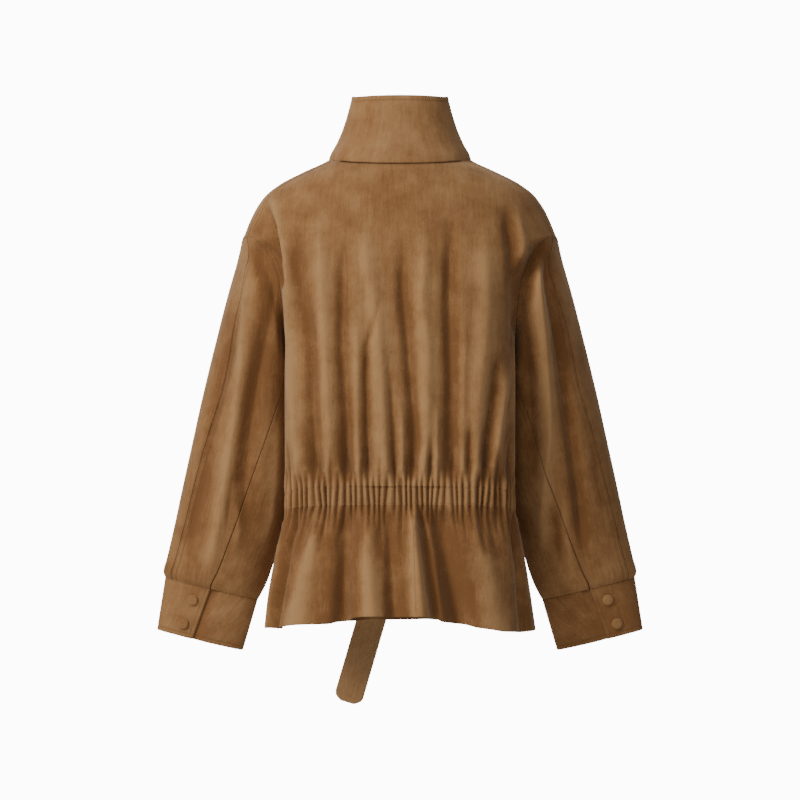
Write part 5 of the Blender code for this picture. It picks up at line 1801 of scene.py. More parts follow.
@dataclass
class Peplum(Part):
    """The skirt below the waist: two fluted back pieces and two front ones."""

    left_cut: Cut = Cut(0.31, 0.18, 0.049)
    right_cut: Cut = Cut(0.27, 0.18, 0.041)
    front_cut: Cut = Cut(0.26, 0.17, 0.040)
    hem_reach: float = 0.260
    hem: tuple[tuple[float, float], ...] = (
        (-0.260, -0.6560), (-0.178, -0.6553), (-0.154, -0.6548), (-0.116, -0.6533), (-0.097, -0.6500),
        (-0.080, -0.6468), (-0.064, -0.6410), (-0.050, -0.6394), (-0.037, -0.6379), (-0.030, -0.6314),
        (0.028, -0.6310), (0.042, -0.6325), (0.049, -0.6360), (0.063, -0.6383), (0.071, -0.6412),
        (0.106, -0.6434), (0.127, -0.6455), (0.148, -0.6477), (0.206, -0.6520), (0.260, -0.6560),
    )
    centre_seam: float = -0.0185
    back_length: float = 0.50
    back_flutes: tuple[Flute, ...] = (
        Flute(0.172, 0.222, 0.0080, 0.0120, 0.0050),
        Flute(0.150, 0.196, 0.0070, 0.0100, -0.0150),
        Flute(0.110, 0.150, 0.0090, 0.0200, 0.0085),
        Flute(0.074, 0.082, 0.0075, 0.0130, -0.0180),
        Flute(0.048, 0.038, 0.0080, 0.0150, 0.0115),
        Flute(0.016, 0.010, 0.0065, 0.0090, -0.0095),
        Flute(-0.016, -0.028, 0.0070, 0.0120, 0.0145),
        Flute(-0.027, -0.048, 0.0050, 0.0080, -0.0100),
        Flute(-0.050, -0.084, 0.0140, 0.0180, -0.0230),
        Flute(-0.100, -0.138, 0.0100, 0.0260, 0.0060),
        Flute(-0.172, -0.190, 0.0090, 0.0140, -0.0105),
    )
    front_flutes: tuple[Flute, ...] = (
        Flute(0.030, 0.036, 0.012, 0.018, 0.0040),
        Flute(0.060, 0.072, 0.012, 0.018, -0.0060),
        Flute(0.092, 0.108, 0.013, 0.020, 0.0070),
        Flute(0.120, 0.143, 0.012, 0.016, -0.0060),
        Flute(0.150, 0.174, 0.012, 0.016, 0.0050),
    )
    at_waist: float = 0.50
    # Painted shade over the back pieces, where the flared cloth tilts up into the top light.
    deeper: float = 0.0022
    front_at_waist: float = 0.25
    back_start: tuple[float, float] = (-0.02, 0.20)
    front_start: tuple[float, float] = (0.0, 0.30)
    side_fade: tuple[float, float] = (0.235, 0.205)
    side_overlap: float = 0.004
    side_reach: float = 0.06
    folds_fade: float = 0.30
    drop: float = 0.170
    rows: Spacing = Spacing(0.0028, 0.0006, (0.035, 0.006))
    columns: Spacing = Spacing(0.0009, 0.0005, (0.005, 0.005))
    front_drop: float = 0.160
    front_width: float = 0.23
    front_rows: Spacing = Spacing(0.0032, 0.0006, (0.008, 0.006))
    front_columns: Spacing = Spacing(0.0024, 0.0006, (0.008, 0.008))
    # Painted shade on the wearer's left of the back, the side towards the key light.
    left_deeper: float = 0.0012
    left_reach: tuple[float, float] = (0.0, 0.05)

    def waves(self, flutes: Sequence[Flute], length: Array, down: Array, at_waist: float) -> Array:
        """How far the flutes raise or sink the cloth.

        Args:
            flutes: The flutes.
            length: Cloth length from the centre.
            down: The share of the drop.
            at_waist: The share of their height that they have under the waist.

        Returns:
            The lift at each place.
        """
        grown = mix(at_waist, 1.0, down)
        total = np.zeros(np.broadcast_shapes(np.shape(length), np.shape(down)))
        for flute in flutes:
            centre = mix(flute.top, flute.hem, down)
            width = mix(flute.top_width, flute.hem_width, down)
            total = total + flute.height * grown * bump(length, centre, width)
        return total

    def back(self, start: float, end: float) -> Cloth:
        """Lay one back piece's grid.

        Args:
            start: The share across the back where it starts.
            end: The share where it ends.

        Returns:
            The cloth.
        """
        down = self.rows.shares(self.drop)[:, None]
        top_mid, top_side = (foot + SEAM_GAP / 2 for foot in (CASING_FOOT_MID, CASING_FOOT_SIDE))
        overlap = self.side_overlap * smooth(down, 0.0, self.side_reach)
        angles, top = TORSO.back_path(mix(top_side, SIDE_HEM_Z, down), top_mid, overlap)
        top = mix(top_mid, top_side, (2 * TORSO.steps - 1) ** 2)
        hem = Curve(*zip(*self.hem))(self.hem_reach * (1 - 2 * TORSO.steps))
        fractions = mix(start, end, self.columns.shares(self.back_length * (end - start)))
        base, normal, totals = TORSO.lay(angles, mix(top, hem, down), fractions)
        z = base[..., 2]
        length = (0.5 - fractions) * totals
        flutes = self.waves(self.back_flutes, length, down, self.at_waist) * smooth(down, *self.back_start)
        folds = BACK_FOLDS.in_band(length) * smooth(down, self.folds_fade, 0.0)
        lift = folds + flutes * smooth(np.abs(length), *self.side_fade)
        away = np.abs(z - z[:1])
        gather = GATHERS.lift(GATHERS.skewed(fractions[None], 1.0), away, False)
        edges = {Edge.TOP: GATHERED, Edge.FOOT: FREE, Edge.START: SEAM, Edge.END: SEAM}
        # Painted light and shade of folds, gathers and swelled cloth, with painted shade over the flare, more
        # on the left.
        tone = lift + gather * GATHER_SHADE + GATHERS.paler(away) - self.deeper
        tone = tone - self.left_deeper * smooth(length, *self.left_reach)
        flat = (length, z)
        return Cloth(base, normal, CLOTH, lift, gather, inner_share=1.0, edges=edges, tone=tone, flat=flat)

    def front(self, side: Side) -> Cloth:
        """Lay one front piece's grid.

        Args:
            side: Left or right.

        Returns:
            The cloth.
        """
        down = self.front_rows.shares(self.front_drop)
        top_side = CASING_FOOT_SIDE - SEAM_GAP / 2
        z = mix(top_side, SIDE_HEM_Z, down)
        lap = mix(top_side - WAIST_FRONT_DROP, FRONT_HEM_Z, down)
        fractions = self.front_columns.shares(self.front_width)
        base, normal, totals = TORSO.lay(*TORSO.front_path(TORSO.side_edge(z), z, lap), fractions)
        length = (1 - fractions) * totals - LAP
        waves = self.waves(self.front_flutes, length, down[:, None], self.front_at_waist)
        waves = waves * smooth(down[:, None], *self.front_start)
        free = off_side(base[..., 2], base[..., 0]) * off_lap(base[..., 0])
        lift = waves * free - lap_dip(side, base[..., 0], CLOTH + LAYER_GAP)
        edges = {Edge.TOP: SEAM, Edge.FOOT: FREE, Edge.START: SEAM, Edge.END: FREE}
        flat = (length, base[..., 2])
        return Cloth(mirrored(base, side), mirrored(normal, side), CLOTH, lift, edges=edges, flat=flat)

    def build(self) -> None:
        """Make the four pieces and their stitches."""
        centre = 0.5 - self.centre_seam / self.back_length
        overlap = SEAM_GAP / 2 / self.back_length
        halves = ((0.0, centre + overlap, self.left_cut), (centre - overlap, 1.0, self.right_cut))
        for side, (start, end, cut) in zip(Side, halves):
            cloth = self.back(start, end)
            self.sheet(f"peplum_back_panel_{side.label}", cloth, f"peplum_back_{side.label}", cut)
        lines = []
        for side in Side:
            cloth = self.front(side)
            name = f"peplum_front_panel_{side.label}"
            self.sheet(name, cloth, f"peplum_front_{side.label}", self.front_cut)
            lines += [cloth.line(Edge.END, inset) for inset in FRONT_ROWS]
        self.sew("peplum_stitches", lines)


# ---- Sleeves and cuffs ----


@dataclass(frozen=True)
class SleeveFold:
    """A long fold of a sleeve, in degrees round it and shares of its run."""

    turn_top: float
    turn_low: float
    run_top: float
    run_low: float
    width: float
    height: float


@dataclass(frozen=True)
class SleeveForm:
    """The left sleeve's smooth tube; turn 0 is its outer edge and pi/2 its back, run 1 the cuff seam."""

    sections: tuple[tuple[float, ...], ...] = (
        (0.00, 0.2215, -0.1150, 0.1580, -0.2620, 0.010, 0.062),
        (0.06, 0.2290, -0.1400, 0.1582, -0.2780, -0.001, 0.067),
        (0.14, 0.2395, -0.1760, 0.1550, -0.3050, -0.013, 0.069),
        (0.24, 0.2520, -0.2250, 0.1535, -0.3440, -0.024, 0.068),
        (0.36, 0.2670, -0.2830, 0.1525, -0.3880, -0.032, 0.065),
        (0.48, 0.2810, -0.3400, 0.1532, -0.4310, -0.038, 0.061),
        (0.60, 0.2940, -0.3980, 0.1570, -0.4740, -0.042, 0.057),
        (0.72, 0.3070, -0.4560, 0.1650, -0.5170, -0.045, 0.051),
        (0.84, 0.3195, -0.5140, 0.1770, -0.5600, -0.047, 0.044),
        (0.93, 0.3300, -0.5590, 0.1880, -0.5930, -0.048, 0.037),
        (0.98, 0.3350, -0.5790, 0.1975, -0.6120, -0.048, 0.031),
        (1.00, 0.3325, -0.5870, 0.2013, -0.6185, -0.048, 0.026),
    )
    seams: tuple[tuple[float, ...], ...] = (
        (0.00, 0.0, 165.0, 235.0),
        (0.07, 33.0, 158.0, 234.0),
        (0.16, 47.0, 149.0, 232.0),
        (0.36, 50.0, 124.0, 229.0),
        (0.60, 41.0, 106.0, 226.0),
        (1.00, 34.0, 90.0, 222.0),
    )
    blend: float = 0.26
    armhole_gap: float = -0.0020
    turn_step: float = 0.004
    cuff_foot: tuple[float, float] = (0.2832, -0.6755)
    cuff_half: tuple[float, float] = (0.0609, 0.0147)
    cuff_half_depth: float = 0.020

    @cached_property
    def curves(self) -> dict[str, Curve]:
        """The sections' columns as curves of the run."""
        names = ("outer_x", "outer_z", "inner_x", "inner_z", "mid_y", "half_depth")
        return Curve.columns(self.sections, *names)

    @cached_property
    def seam_curves(self) -> dict[str, Curve]:
        """The seams' places round the sleeve, in degrees."""
        return Curve.columns(self.seams, "over", "elbow", "fore")

    def tube(self, turn: Array, run: Array) -> Array:
        """The tube without its armhole."""
        curves = self.curves
        turn, run = np.broadcast_arrays(turn, run)
        outer = (curves["outer_x"](run), curves["outer_z"](run))
        inner = (curves["inner_x"](run), curves["inner_z"](run))
        x, z = ((o + i) / 2 + (o - i) / 2 * np.cos(turn) for o, i in zip(outer, inner))
        y = curves["mid_y"](run) + curves["half_depth"](run) * np.sin(turn)
        return np.stack((x, y, z), axis=-1)

    def sleeve(self, turn: Array, run: Array) -> Array:
        """The sleeve, drawn on to the armhole at its top."""
        turn, run = np.broadcast_arrays(turn, run)
        hold = np.maximum(1 - run / self.blend, 0.0) ** 2
        armhole = TORSO.point(*TORSO.armhole(turn))
        return self.tube(turn, run) + (armhole - self.tube(turn, np.zeros(run.shape))) * hold[..., None]

    def cuff(self, turn: Array, drop: Array) -> Array:
        """The cuff's outer surface: drop 0 is its seam and 1 its foot."""
        turn, drop = np.broadcast_arrays(turn, drop)
        top = self.tube(turn, np.ones(turn.shape))
        x = self.cuff_foot[0] + self.cuff_half[0] * np.cos(turn)
        z = self.cuff_foot[1] + self.cuff_half[1] * np.cos(turn)
        y = self.curves["mid_y"](1.0) + self.cuff_half_depth * np.sin(turn)
        return mix(top, np.stack((x, y, z), axis=-1), drop[..., None])

    def normal(self, surface: Callable[[Array, Array], Array], turn: Array, down: Array) -> Array:
        """The outward normals of one of the tube's surfaces.

        Args:
            surface: The surface.
            turn: Places round it.
            down: Places down it, 0 to 1.

        Returns:
            The normals.
        """
        step = self.turn_step
        round_it = surface(turn + step, down) - surface(turn - step, down)
        along = surface(turn, np.minimum(down + step, 1.0)) - surface(turn, np.maximum(down - step, 0.0))
        return unit(np.cross(along, round_it))


SLEEVE = SleeveForm()


@dataclass
class Sleeves(Part):
    """Both sleeves, each in a back, an under and a front panel."""

    panels: tuple[tuple[str, str, str, int, Cut], ...] = (
        ("back", "over", "elbow", 60, Cut(0.12, 0.56, 0.043)),
        ("under", "elbow", "fore", 50, Cut(0.13, 0.50, 0.050)),
        ("front", "fore", "over", 84, Cut(0.22, 0.56, 0.097)),
    )
    left_folds: tuple[SleeveFold, ...] = (
        SleeveFold(300.0, 285.0, 0.15, 0.80, 14.0, 0.0055),
        SleeveFold(262.0, 256.0, 0.20, 0.80, 10.0, -0.0045),
        SleeveFold(325.0, 330.0, 0.35, 0.95, 12.0, 0.0040),
        SleeveFold(312.0, 305.0, 0.25, 0.90, 8.0, -0.0040),
    )
    right_folds: tuple[SleeveFold, ...] = (
        SleeveFold(290.0, 296.0, 0.12, 0.78, 14.0, 0.0055),
        SleeveFold(255.0, 262.0, 0.22, 0.85, 10.0, -0.0045),
        SleeveFold(332.0, 322.0, 0.40, 0.95, 12.0, 0.0040),
        SleeveFold(310.0, 312.0, 0.22, 0.85, 8.0, -0.0040),
    )
    left_creases: tuple[Crease, ...] = (
        Crease(((207, -126), (210, -168), (215, -224), (220, -280), (227, -336), (234, -392),
                (243, -448), (253, -504), (265, -563), (273, -594)), 9.0, 5.2, 1.8, (0.07, 0.14)),
        Crease(((222, -190), (231, -238), (243, -283), (256, -336), (266, -392), (274, -448),
                (288, -504), (299, -568)), 9.0, -4.8, 1.8, (0.25, 0.15)),
        Crease(((197, -101), (186, -134), (180, -175), (184, -224), (194, -280), (204, -336),
                (212, -392), (218, -448), (213, -504), (210, -563)), 14.0, -9.5, 1.8, (0.08, 0.3)),
        Crease(((166, -336), (171, -392), (173, -448), (179, -504), (193, -563)),
               8.0, 3.4, 1.8, (0.3, 0.3)),
        Crease(((228, -476), (225, -518), (234, -563)), 4.2, 1.7, 1.8, (0.4, 0.4)),
        Crease(((235, -434), (238, -476), (243, -532)), 4.0, -1.4, 1.8, (0.4, 0.4)),
        Crease(((273, -554), (249, -568), (224, -596)), 6.0, -1.2, 1.7, (0.4, 0.3)),
    )
    right_creases: tuple[Crease, ...] = (
        Crease(((-189, -123), (-190, -157), (-195, -196), (-200, -238), (-204, -280),
                (-208, -336), (-210, -392), (-204, -448), (-199, -504), (-200, -563)),
               8.0, 8.0, 1.8, (0.08, 0.16)),
        Crease(((-207, -120), (-211, -182), (-218, -224), (-226, -280), (-233, -336),
                (-240, -392), (-247, -448), (-253, -504), (-259, -566)),
               8.0, -10.5, 1.7, (0.1, 0.16)),
        Crease(((-174, -134), (-171, -196), (-174, -252), (-178, -308), (-182, -364),
                (-184, -420), (-177, -483)), 10.0, -7.0, 1.8, (0.15, 0.3)),
        Crease(((-227, -470), (-233, -518), (-240, -563), (-244, -594)),
               5.0, 2.6, 1.8, (0.4, 0.15)),
        Crease(((-214, -468), (-220, -518), (-223, -568)), 5.0, -3.0, 1.8, (0.4, 0.25)),
        Crease(((-265, -364), (-275, -434), (-289, -518)), 6.0, -1.3, 1.8, (0.4, 0.4)),
    )
    # The armhole seam's groove gets a deeper painted shade.
    armhole: EdgeFinish = EdgeFinish(depth=0.0009, roll=0.0022, shade=0.40)
    fold_ease: tuple[float, float] = (0.06, 0.14)
    seam_gap: float = 0.0004
    fold_reach: float = 0.023
    tuck: float = 0.0010
    length: float = 0.52
    crease_ease: tuple[float, float] = (0.05, 0.96)
    rows: Spacing = Spacing(0.0034, 0.0008, (0.012, 0.012))
    drop: float = 0.56
    fine_share: float = 0.3
    fine_reach: float = 0.06
    leaving_run: float = 0.02
    over_rows: tuple[float, float] = (0.0020, 0.0080)
    over_share: tuple[float, float] = (0.01, 0.99)
    armhole_row: float = 0.0024
    slot: ClassVar[str] = "sleeve_suede"

    def fold_lift(self, side: Side, turn: Array, run: Array) -> Array:
        """How far the long folds raise or sink a sleeve.

        Args:
            side: Left or right.
            turn: Places round it.
            run: Places down it.

        Returns:
            The lift at each place.
        """
        before, after = self.fold_ease
        total = np.zeros(np.broadcast_shapes(turn.shape, run.shape))
        for fold in self.left_folds if side is Side.LEFT else self.right_folds:
            centre = mix(fold.turn_top, fold.turn_low, smooth(run, fold.run_top, fold.run_low))
            apart = (np.degrees(turn) - centre + FULL_TURN / 2) % FULL_TURN - FULL_TURN / 2
            ease = smooth(run, fold.run_top - before, fold.run_top + after)
            ease = ease * smooth(run, fold.run_low + before, fold.run_low - after)
            total = total + fold.height * ease * bump(apart, 0.0, fold.width)
        return total

    def panel(self, side: Side, from_seam: str, to_seam: str, columns: int) -> Cloth:
        """Lay one panel's grid.

        Args:
            side: Left or right.
            from_seam: The seam that it starts at.
            to_seam: The seam that it ends at.
            columns: How many cells wide its middle is.

        Returns:
            The cloth.
        """
        run = self.rows.shares(self.drop)[:, None]
        start = np.radians(SLEEVE.seam_curves[from_seam](run))
        end = np.radians(SLEEVE.seam_curves[to_seam](run))
        end = np.where(end < start, end + 2 * math.pi, end)
        trim = self.seam_gap / 2 / SLEEVE.curves["half_depth"](run)
        spacing = Spacing(1 / columns, self.fine_share / columns, (self.fine_reach, self.fine_reach))
        turn = mix(start + trim, end - trim, spacing.shares(1.0)[None])
        base = SLEEVE.sleeve(turn, run)
        normal = SLEEVE.normal(SLEEVE.sleeve, turn, np.broadcast_to(run, turn.shape))
        leaving = unit(SLEEVE.sleeve(turn[:1], np.array([[self.leaving_run]])) - base[:1])
        base[:1] = base[:1] + leaving * SLEEVE.armhole_gap
        base, normal = mirrored(base, side), mirrored(normal, side)
        ease = smooth(run, 0.0, self.crease_ease[0]) * smooth(run, 1.0, self.crease_ease[1])
        creases = self.left_creases if side is Side.LEFT else self.right_creases
        lift = self.fold_lift(side, turn, run) + creased(creases, base, normal) * ease
        lift[:1] -= self.tuck
        wrapped = np.where(turn > math.pi, 0.0, turn)
        sunk = TORSO.seam_sink(wrapped, run * self.length, self.fold_reach)
        base[..., 1] -= sunk
        top = self.armhole if from_seam == "over" else SEWN
        edges = {Edge.TOP: top, Edge.FOOT: SEAM, Edge.START: SEAM, Edge.END: SEAM}
        if from_seam == "over":
            edges[Edge.START] = TWICE_SEWN
        # Painted light and shade of the folds, and painted shade in the fold by the armhole seam.
        return Cloth(base, normal, CLOTH, lift, edges=edges, tone=lift - sunk / 2)

    def build(self) -> None:
        """Make all six panels and their stitches."""
        for side in Side:
            lines = []
            for panel, from_seam, to_seam, columns, cut in self.panels:
                cloth = self.panel(side, from_seam, to_seam, columns)
                self.sheet(f"sleeve_{side.label}_{panel}_panel", cloth, f"sleeve_{side.label}_{panel}", cut)
                if panel == "back":
                    lines += [cloth.line(Edge.START, inset, self.over_share) for inset in self.over_rows]
                if panel == "front":
                    lines.append(cloth.line(Edge.TOP, self.armhole_row))
            self.sew(f"sleeve_stitches_{side.label}", lines)


@dataclass
class Cuffs(Part):
    """Both cuffs, whose outer end laps over the inner one at the slit."""

    cut: Cut = Cut(0.27, 0.10, 0.024)
    slit_top: float = 90.0
    slit_foot: float = 81.0
    lap: float = 34.0
    lap_ease: tuple[float, float] = (-16.0, -2.0)
    seam_gap: float = -0.0010
    # Painted shade on the right cuff, which turns away from the key light.
    right_deeper: float = 0.0030
    rows: Spacing = Spacing(0.0022, 0.0006, (0.008, 0.012))
    columns: Spacing = Spacing(0.0017, 0.0006, (0.010, 0.008))
    drop: float = 0.085
    width: float = 0.26
    row: float = 0.0060
    foot_edge: EdgeFinish = EdgeFinish(0.0010, 0.0026, 0.05, (row,))
    slit_edge: EdgeFinish = EdgeFinish(0.0008, 0.0022, 0.25, (row,))
    slot: ClassVar[str] = "trim_suede"
    outside: ClassVar[Finish] = Finish.PALE

    def cloth(self, side: Side) -> Cloth:
        """Lay one cuff's grid.

        Args:
            side: Left or right.

        Returns:
            The cloth.
        """
        drop = self.rows.shares(self.drop)[:, None]
        fraction = self.columns.shares(self.width)[None]
        slit = mix(self.slit_top, self.slit_foot, drop)
        degrees = mix(slit, slit - FULL_TURN - self.lap, fraction)
        turn = np.radians(degrees)
        dip = (DOUBLE_CLOTH + LAYER_GAP) * smooth(slit - FULL_TURN - degrees, *self.lap_ease)
        base = SLEEVE.cuff(turn, drop)
        base[0, :, 2] -= self.seam_gap
        normal = SLEEVE.normal(SLEEVE.cuff, turn, np.broadcast_to(drop, turn.shape))
        edges = {Edge.TOP: SEAM, Edge.FOOT: self.foot_edge, Edge.START: self.slit_edge}
        base, normal = mirrored(base, side), mirrored(normal, side)
        # Painted shade under the lapping end and over the right cuff.
        tone = -dip - self.right_deeper * (side is Side.RIGHT)
        return Cloth(base, normal, DOUBLE_CLOTH, -dip, edges=edges, tone=tone)

    def build(self) -> None:
        """Make both cuffs and their stitches."""
        for side in Side:
            cloth = self.cloth(side)
            self.sheet(f"cuff_band_{side.label}", cloth, f"cuff_{side.label}", self.cut)
            lines = [cloth.line(edge, self.row) for edge in (Edge.FOOT, Edge.START)]
            self.sew(f"cuff_stitches_{side.label}", [*lines, cloth.line(Edge.TOP, NEAR_ROW)])


# ---- Snaps ----


@dataclass
class Snaps(Part):
    """The cloth-covered snaps on the cuffs and down the front."""

    radius: float = 0.0076
    height: float = 0.0034
    seat: float = 0.0007
    cuff_places: tuple[tuple[float, float], ...] = ((71.0, 0.27), (65.0, 0.75))
    front_heights: tuple[float, ...] = (-0.085, -0.160, -0.235, -0.310, -0.385, -0.575)
    profile: tuple[tuple[float, float], ...] = (
        (0.0, 0.90), (0.30, 0.93), (0.55, 0.90), (0.70, 0.80), (0.78, 0.70), (0.84, 0.74), (0.92, 0.68),
        (0.99, 0.45), (1.0, 0.22), (0.94, 0.0), (0.0, 0.0),
    )
    sides: int = 40
    slot: ClassVar[str] = "snap_suede"

    def cap(self, name: str, place: Array, normal: Array, node: str) -> None:
        """Make one snap's cap.

        Args:
            name: The piece's name.
            place: Where it sits on the smooth form.
            normal: The way that it faces.
            node: The solid that it stands for.
        """
        up = Vector(normal).normalized()
        turned = up.to_track_quat("Z", "Y").to_matrix()
        seat = Vector(place) + up * self.seat
        rings = []
        for out, rise in self.profile:
            turns = [2 * math.pi * k / self.sides for k in range(self.sides if out else 1)]
            wide, high = out * self.radius, rise * self.height
            ring = [Vector((math.cos(turn) * wide, math.sin(turn) * wide, high)) for turn in turns]
            rings.append([seat + turned @ point for point in ring])
        mesh = closed_form(name, rings)
        mesh.materials.append(self.wardrobe[Finish.PALE])
        places = np.array([tuple(vertex.co) for vertex in mesh.vertices])
        level = np.zeros(len(places))
        paint(mesh, level, level, places[:, 0], places[:, 2])
        self.dress(placed(name, mesh), node)

    def build(self) -> None:
        """Make every snap."""
        for side in Side:
            for number, (degrees, drop) in enumerate(self.cuff_places, 1):
                turn, down = np.array(math.radians(degrees)), np.array(drop)
                place = mirrored(SLEEVE.cuff(turn, down), side)
                normal = mirrored(SLEEVE.normal(SLEEVE.cuff, turn, down), side)
                tag = f"{side.label}_{number}"
                self.cap(f"cuff_snap_{tag}", place, normal, f"snap_cuff_{tag}")
        for number, z in enumerate(self.front_heights, 1):
            place = TORSO.point(np.array(-math.pi / 2), np.array(z))
            self.cap(f"front_snap_{number}", place, TORSO.normal(place), f"snap_front_{number}")


# ---- Belt ----


@dataclass
class TieBelt(Part):
    """The belt from each side seam to the knot, and its two hanging ends."""

    band_cut: Cut = Cut(0.22, 0.044, 0.0092)
    tail_cut: Cut = Cut(0.30, 0.044, 0.0120)
    short_cut: Cut = Cut(0.14, 0.044, 0.0053)
    width: float = 0.042
    stand_off: float = 0.0048
    sewn_off: float = DOUBLE_CLOTH + 0.0008
    side_z: float = -0.4820
    front_z: float = -0.4860
    crown: float = 0.001
    stop: float = 0.0060
    knot_size: tuple[float, float, float] = (0.050, 0.026, 0.050)
    top_width: float = 0.62
    spread: float = 0.30
    corner: float = 0.006
    end_width: float = 0.90
    bow: float = 0.0035
    bow_reach: float = 0.7
    ripple: float = 0.0015
    ripple_turn: float = 5.0
    twist: float = 0.004
    # Painted light on the hanging ends, which the peplum shades from the key light.
    tail_tone: float = 0.0062
    tails: tuple[tuple[Side, float, float, float, float, float], ...] = (
        (Side.LEFT, 0.0765, -0.7730, 0.0160, 0.0105, 0.6),
        (Side.RIGHT, -0.0480, -0.6250, 0.0205, 0.0165, -0.5),
    )
    edge: EdgeFinish = EdgeFinish(0.0008, 0.0022, 0.05, (0.0066,))
    band_width: float = 0.20
    rows: Spacing = Spacing(0.0022, 0.0006, (0.008, 0.008))
    columns: Spacing = Spacing(0.0026, 0.0008, (0.006, 0.006))
    tail_rows: Spacing = Spacing(0.0028, 0.0008, (0.004, 0.010))
    tail_columns: Spacing = Spacing(0.0018, 0.0005, (0.008, 0.008))
    corner_from: float = 0.27
    knot_rings: int = 61
    knot_sides: int = 120
    knot_end_power: float = 3.2
    knot_power: float = 3.4
    knot_end: float = 0.55
    knot_fill: tuple[float, float] = (0.96, 0.97)
    knot_spread: tuple[float, float] = (0.86, 1.10)
    pleat: float = 0.0016
    pleat_turns: tuple[float, float, float] = (9.0, 1.6, 0.8)
    slot: ClassVar[str] = "trim_suede"
    outside: ClassVar[Finish] = Finish.PALE
    inside: ClassVar[Finish] = Finish.PALE

    def band(self, side: Side) -> Cloth:
        """Lay one band's grid.

        Args:
            side: Left or right.

        Returns:
            The cloth.
        """
        down = self.rows.shares(self.width)[:, None]
        heights = mix(self.side_z, self.front_z, TORSO.steps) + (1 - 2 * down) * self.width / 2
        end = float(TORSO.front_angle(self.front_z, self.stop))
        angles = mix(float(TORSO.side_edge(self.side_z)), end, TORSO.steps)
        base, normal, _ = TORSO.lay(angles, heights, self.columns.shares(self.band_width))
        free_off = self.stand_off + self.crown * (1 - (1 - 2 * down) ** 2)
        off = mix(self.sewn_off, free_off, off_side(base[..., 2], base[..., 0]))
        base, normal = mirrored(base, side), mirrored(normal, side)
        edges = {Edge.TOP: self.edge, Edge.FOOT: self.edge}
        return Cloth(base, normal, DOUBLE_CLOTH, off, edges=edges, tone=np.zeros(off.shape))

    def tail(self, foot: tuple[float, float], offs: tuple[float, float], lean: float) -> Cloth:
        """Lay a hanging end's grid, with its end corners cut.

        Args:
            foot: Its foot's x and z.
            offs: How far it stands off the peplum at the knot and below.
            lean: How it ripples and twists.

        Returns:
            The cloth.
        """
        top = np.array((0.0, self.front_z - self.knot_size[2] / 2 - LAYER_GAP))
        low = np.array(foot)
        length = float(np.linalg.norm(low - top))
        down = (low - top) / length
        t = self.tail_rows.shares(length)[:, None]
        place = self.tail_columns.shares(self.width)[None] - 0.5
        spread = smooth(t, 0.0, self.spread)
        width = self.width * mix(self.top_width, 1.0, spread)
        across = mix(np.array((1.0, 0.0)), np.array((-down[1], down[0])), spread[..., None])
        end_share = (length - self.corner) / length
        narrow = 1 - (1 - self.end_width) * np.clip((t - end_share) / (1 - end_share), 0.0, 1.0)
        in_corner = (np.abs(place) - self.corner_from) / (0.5 - self.corner_from)
        short = 1 - self.corner / length * np.clip(in_corner, 0.0, 1.0)
        flat = mix(top, low, (t * short)[..., None]) + across * (place * width * narrow)[..., None]
        over = np.maximum(flat[..., 1], FRONT_HEM_Z)
        hang = TORSO.point(np.full(over.shape, -math.pi / 2), over)[..., 1]
        bow = self.bow * np.sin(math.pi * np.minimum(t / self.bow_reach, 1.0))
        ripple = self.ripple * np.sin(self.ripple_turn * t + lean) - self.twist * 2 * place * lean * t
        y = hang - mix(offs[0], offs[1], spread) - bow + ripple
        base = np.stack((flat[..., 0], y, flat[..., 1]), axis=-1)
        normal = np.broadcast_to(np.array((0.0, -1.0, 0.0)), base.shape).copy()
        edges = {edge: self.edge for edge in (Edge.FOOT, Edge.START, Edge.END)}
        # Painted light over the whole end.
        tone = np.full(y.shape, self.tail_tone)
        return Cloth(base, normal, DOUBLE_CLOTH, np.zeros(y.shape), edges=edges, tone=tone)

    def knot(self) -> bpy.types.Object:
        """Make the knot as a closed wrapped piece with pleats across it."""
        across = np.linspace(-1.0, 1.0, self.knot_rings)[None]
        turn = np.linspace(0.0, 2 * math.pi, self.knot_sides + 1)[:-1, None]
        half = np.array(self.knot_size) / 2
        front = TORSO.point(np.array(-math.pi / 2), np.array(self.front_z))
        y_mid = front[1] - self.stand_off - self.crown - LAYER_GAP - half[1]
        ends = np.sqrt(np.clip(1 - np.abs(across) ** self.knot_end_power, 0.0, 1.0))
        power = 2 / self.knot_power
        y = -half[1] * np.sign(np.cos(turn)) * np.abs(np.cos(turn)) ** power
        z = half[2] * np.sign(np.sin(turn)) * np.abs(np.sin(turn)) ** power
        along, round_it, start = self.pleat_turns
        pleats = self.pleat * np.sin(across * along + round_it * np.sin(turn) + start) * ends
        scale = mix(self.knot_end, 1.0, ends) + pleats / half[1]
        x = across * half[0] * mix(*self.knot_spread, (np.sin(turn) + 1) / 2)
        deep, high = self.knot_fill
        y, z = y_mid + y * scale * deep, self.front_z + z * scale * high
        points = np.stack((x, y, z), axis=-1).swapaxes(0, 1)
        mesh = closed_form("tied_knot", points)
        mesh.materials.append(self.wardrobe[Finish.PALE])
        # The pleats' painted light and shade.
        relief = pleats.T.ravel()
        places = points.reshape(-1, 3)
        paint(mesh, relief, np.zeros(relief.shape), places[:, 0], places[:, 2])
        return placed("tied_knot", mesh)

    def build(self) -> None:
        """Make the bands, the tails, the knot and their stitches."""
        row = self.edge.rows[0]
        lines = []
        for side in Side:
            band = self.band(side)
            self.sheet(f"belt_band_{side.label}", band, f"belt_{side.label}", self.band_cut)
            lines += [band.line(edge, row) for edge in (Edge.TOP, Edge.FOOT)]
        for side, foot_x, foot_z, off_knot, off_below, lean in self.tails:
            tail = self.tail((foot_x, foot_z), (off_knot, off_below), lean)
            cut = self.tail_cut if side is Side.LEFT else self.short_cut
            self.sheet(f"belt_end_{side.label}", tail, f"belt_tail_{side.label}", cut)
            lines += [tail.line(edge, row) for edge in (Edge.START, Edge.END, Edge.FOOT)]
        self.dress(self.knot(), "belt_knot")
        self.sew("belt_stitches", lines)


# ---- Studio ----


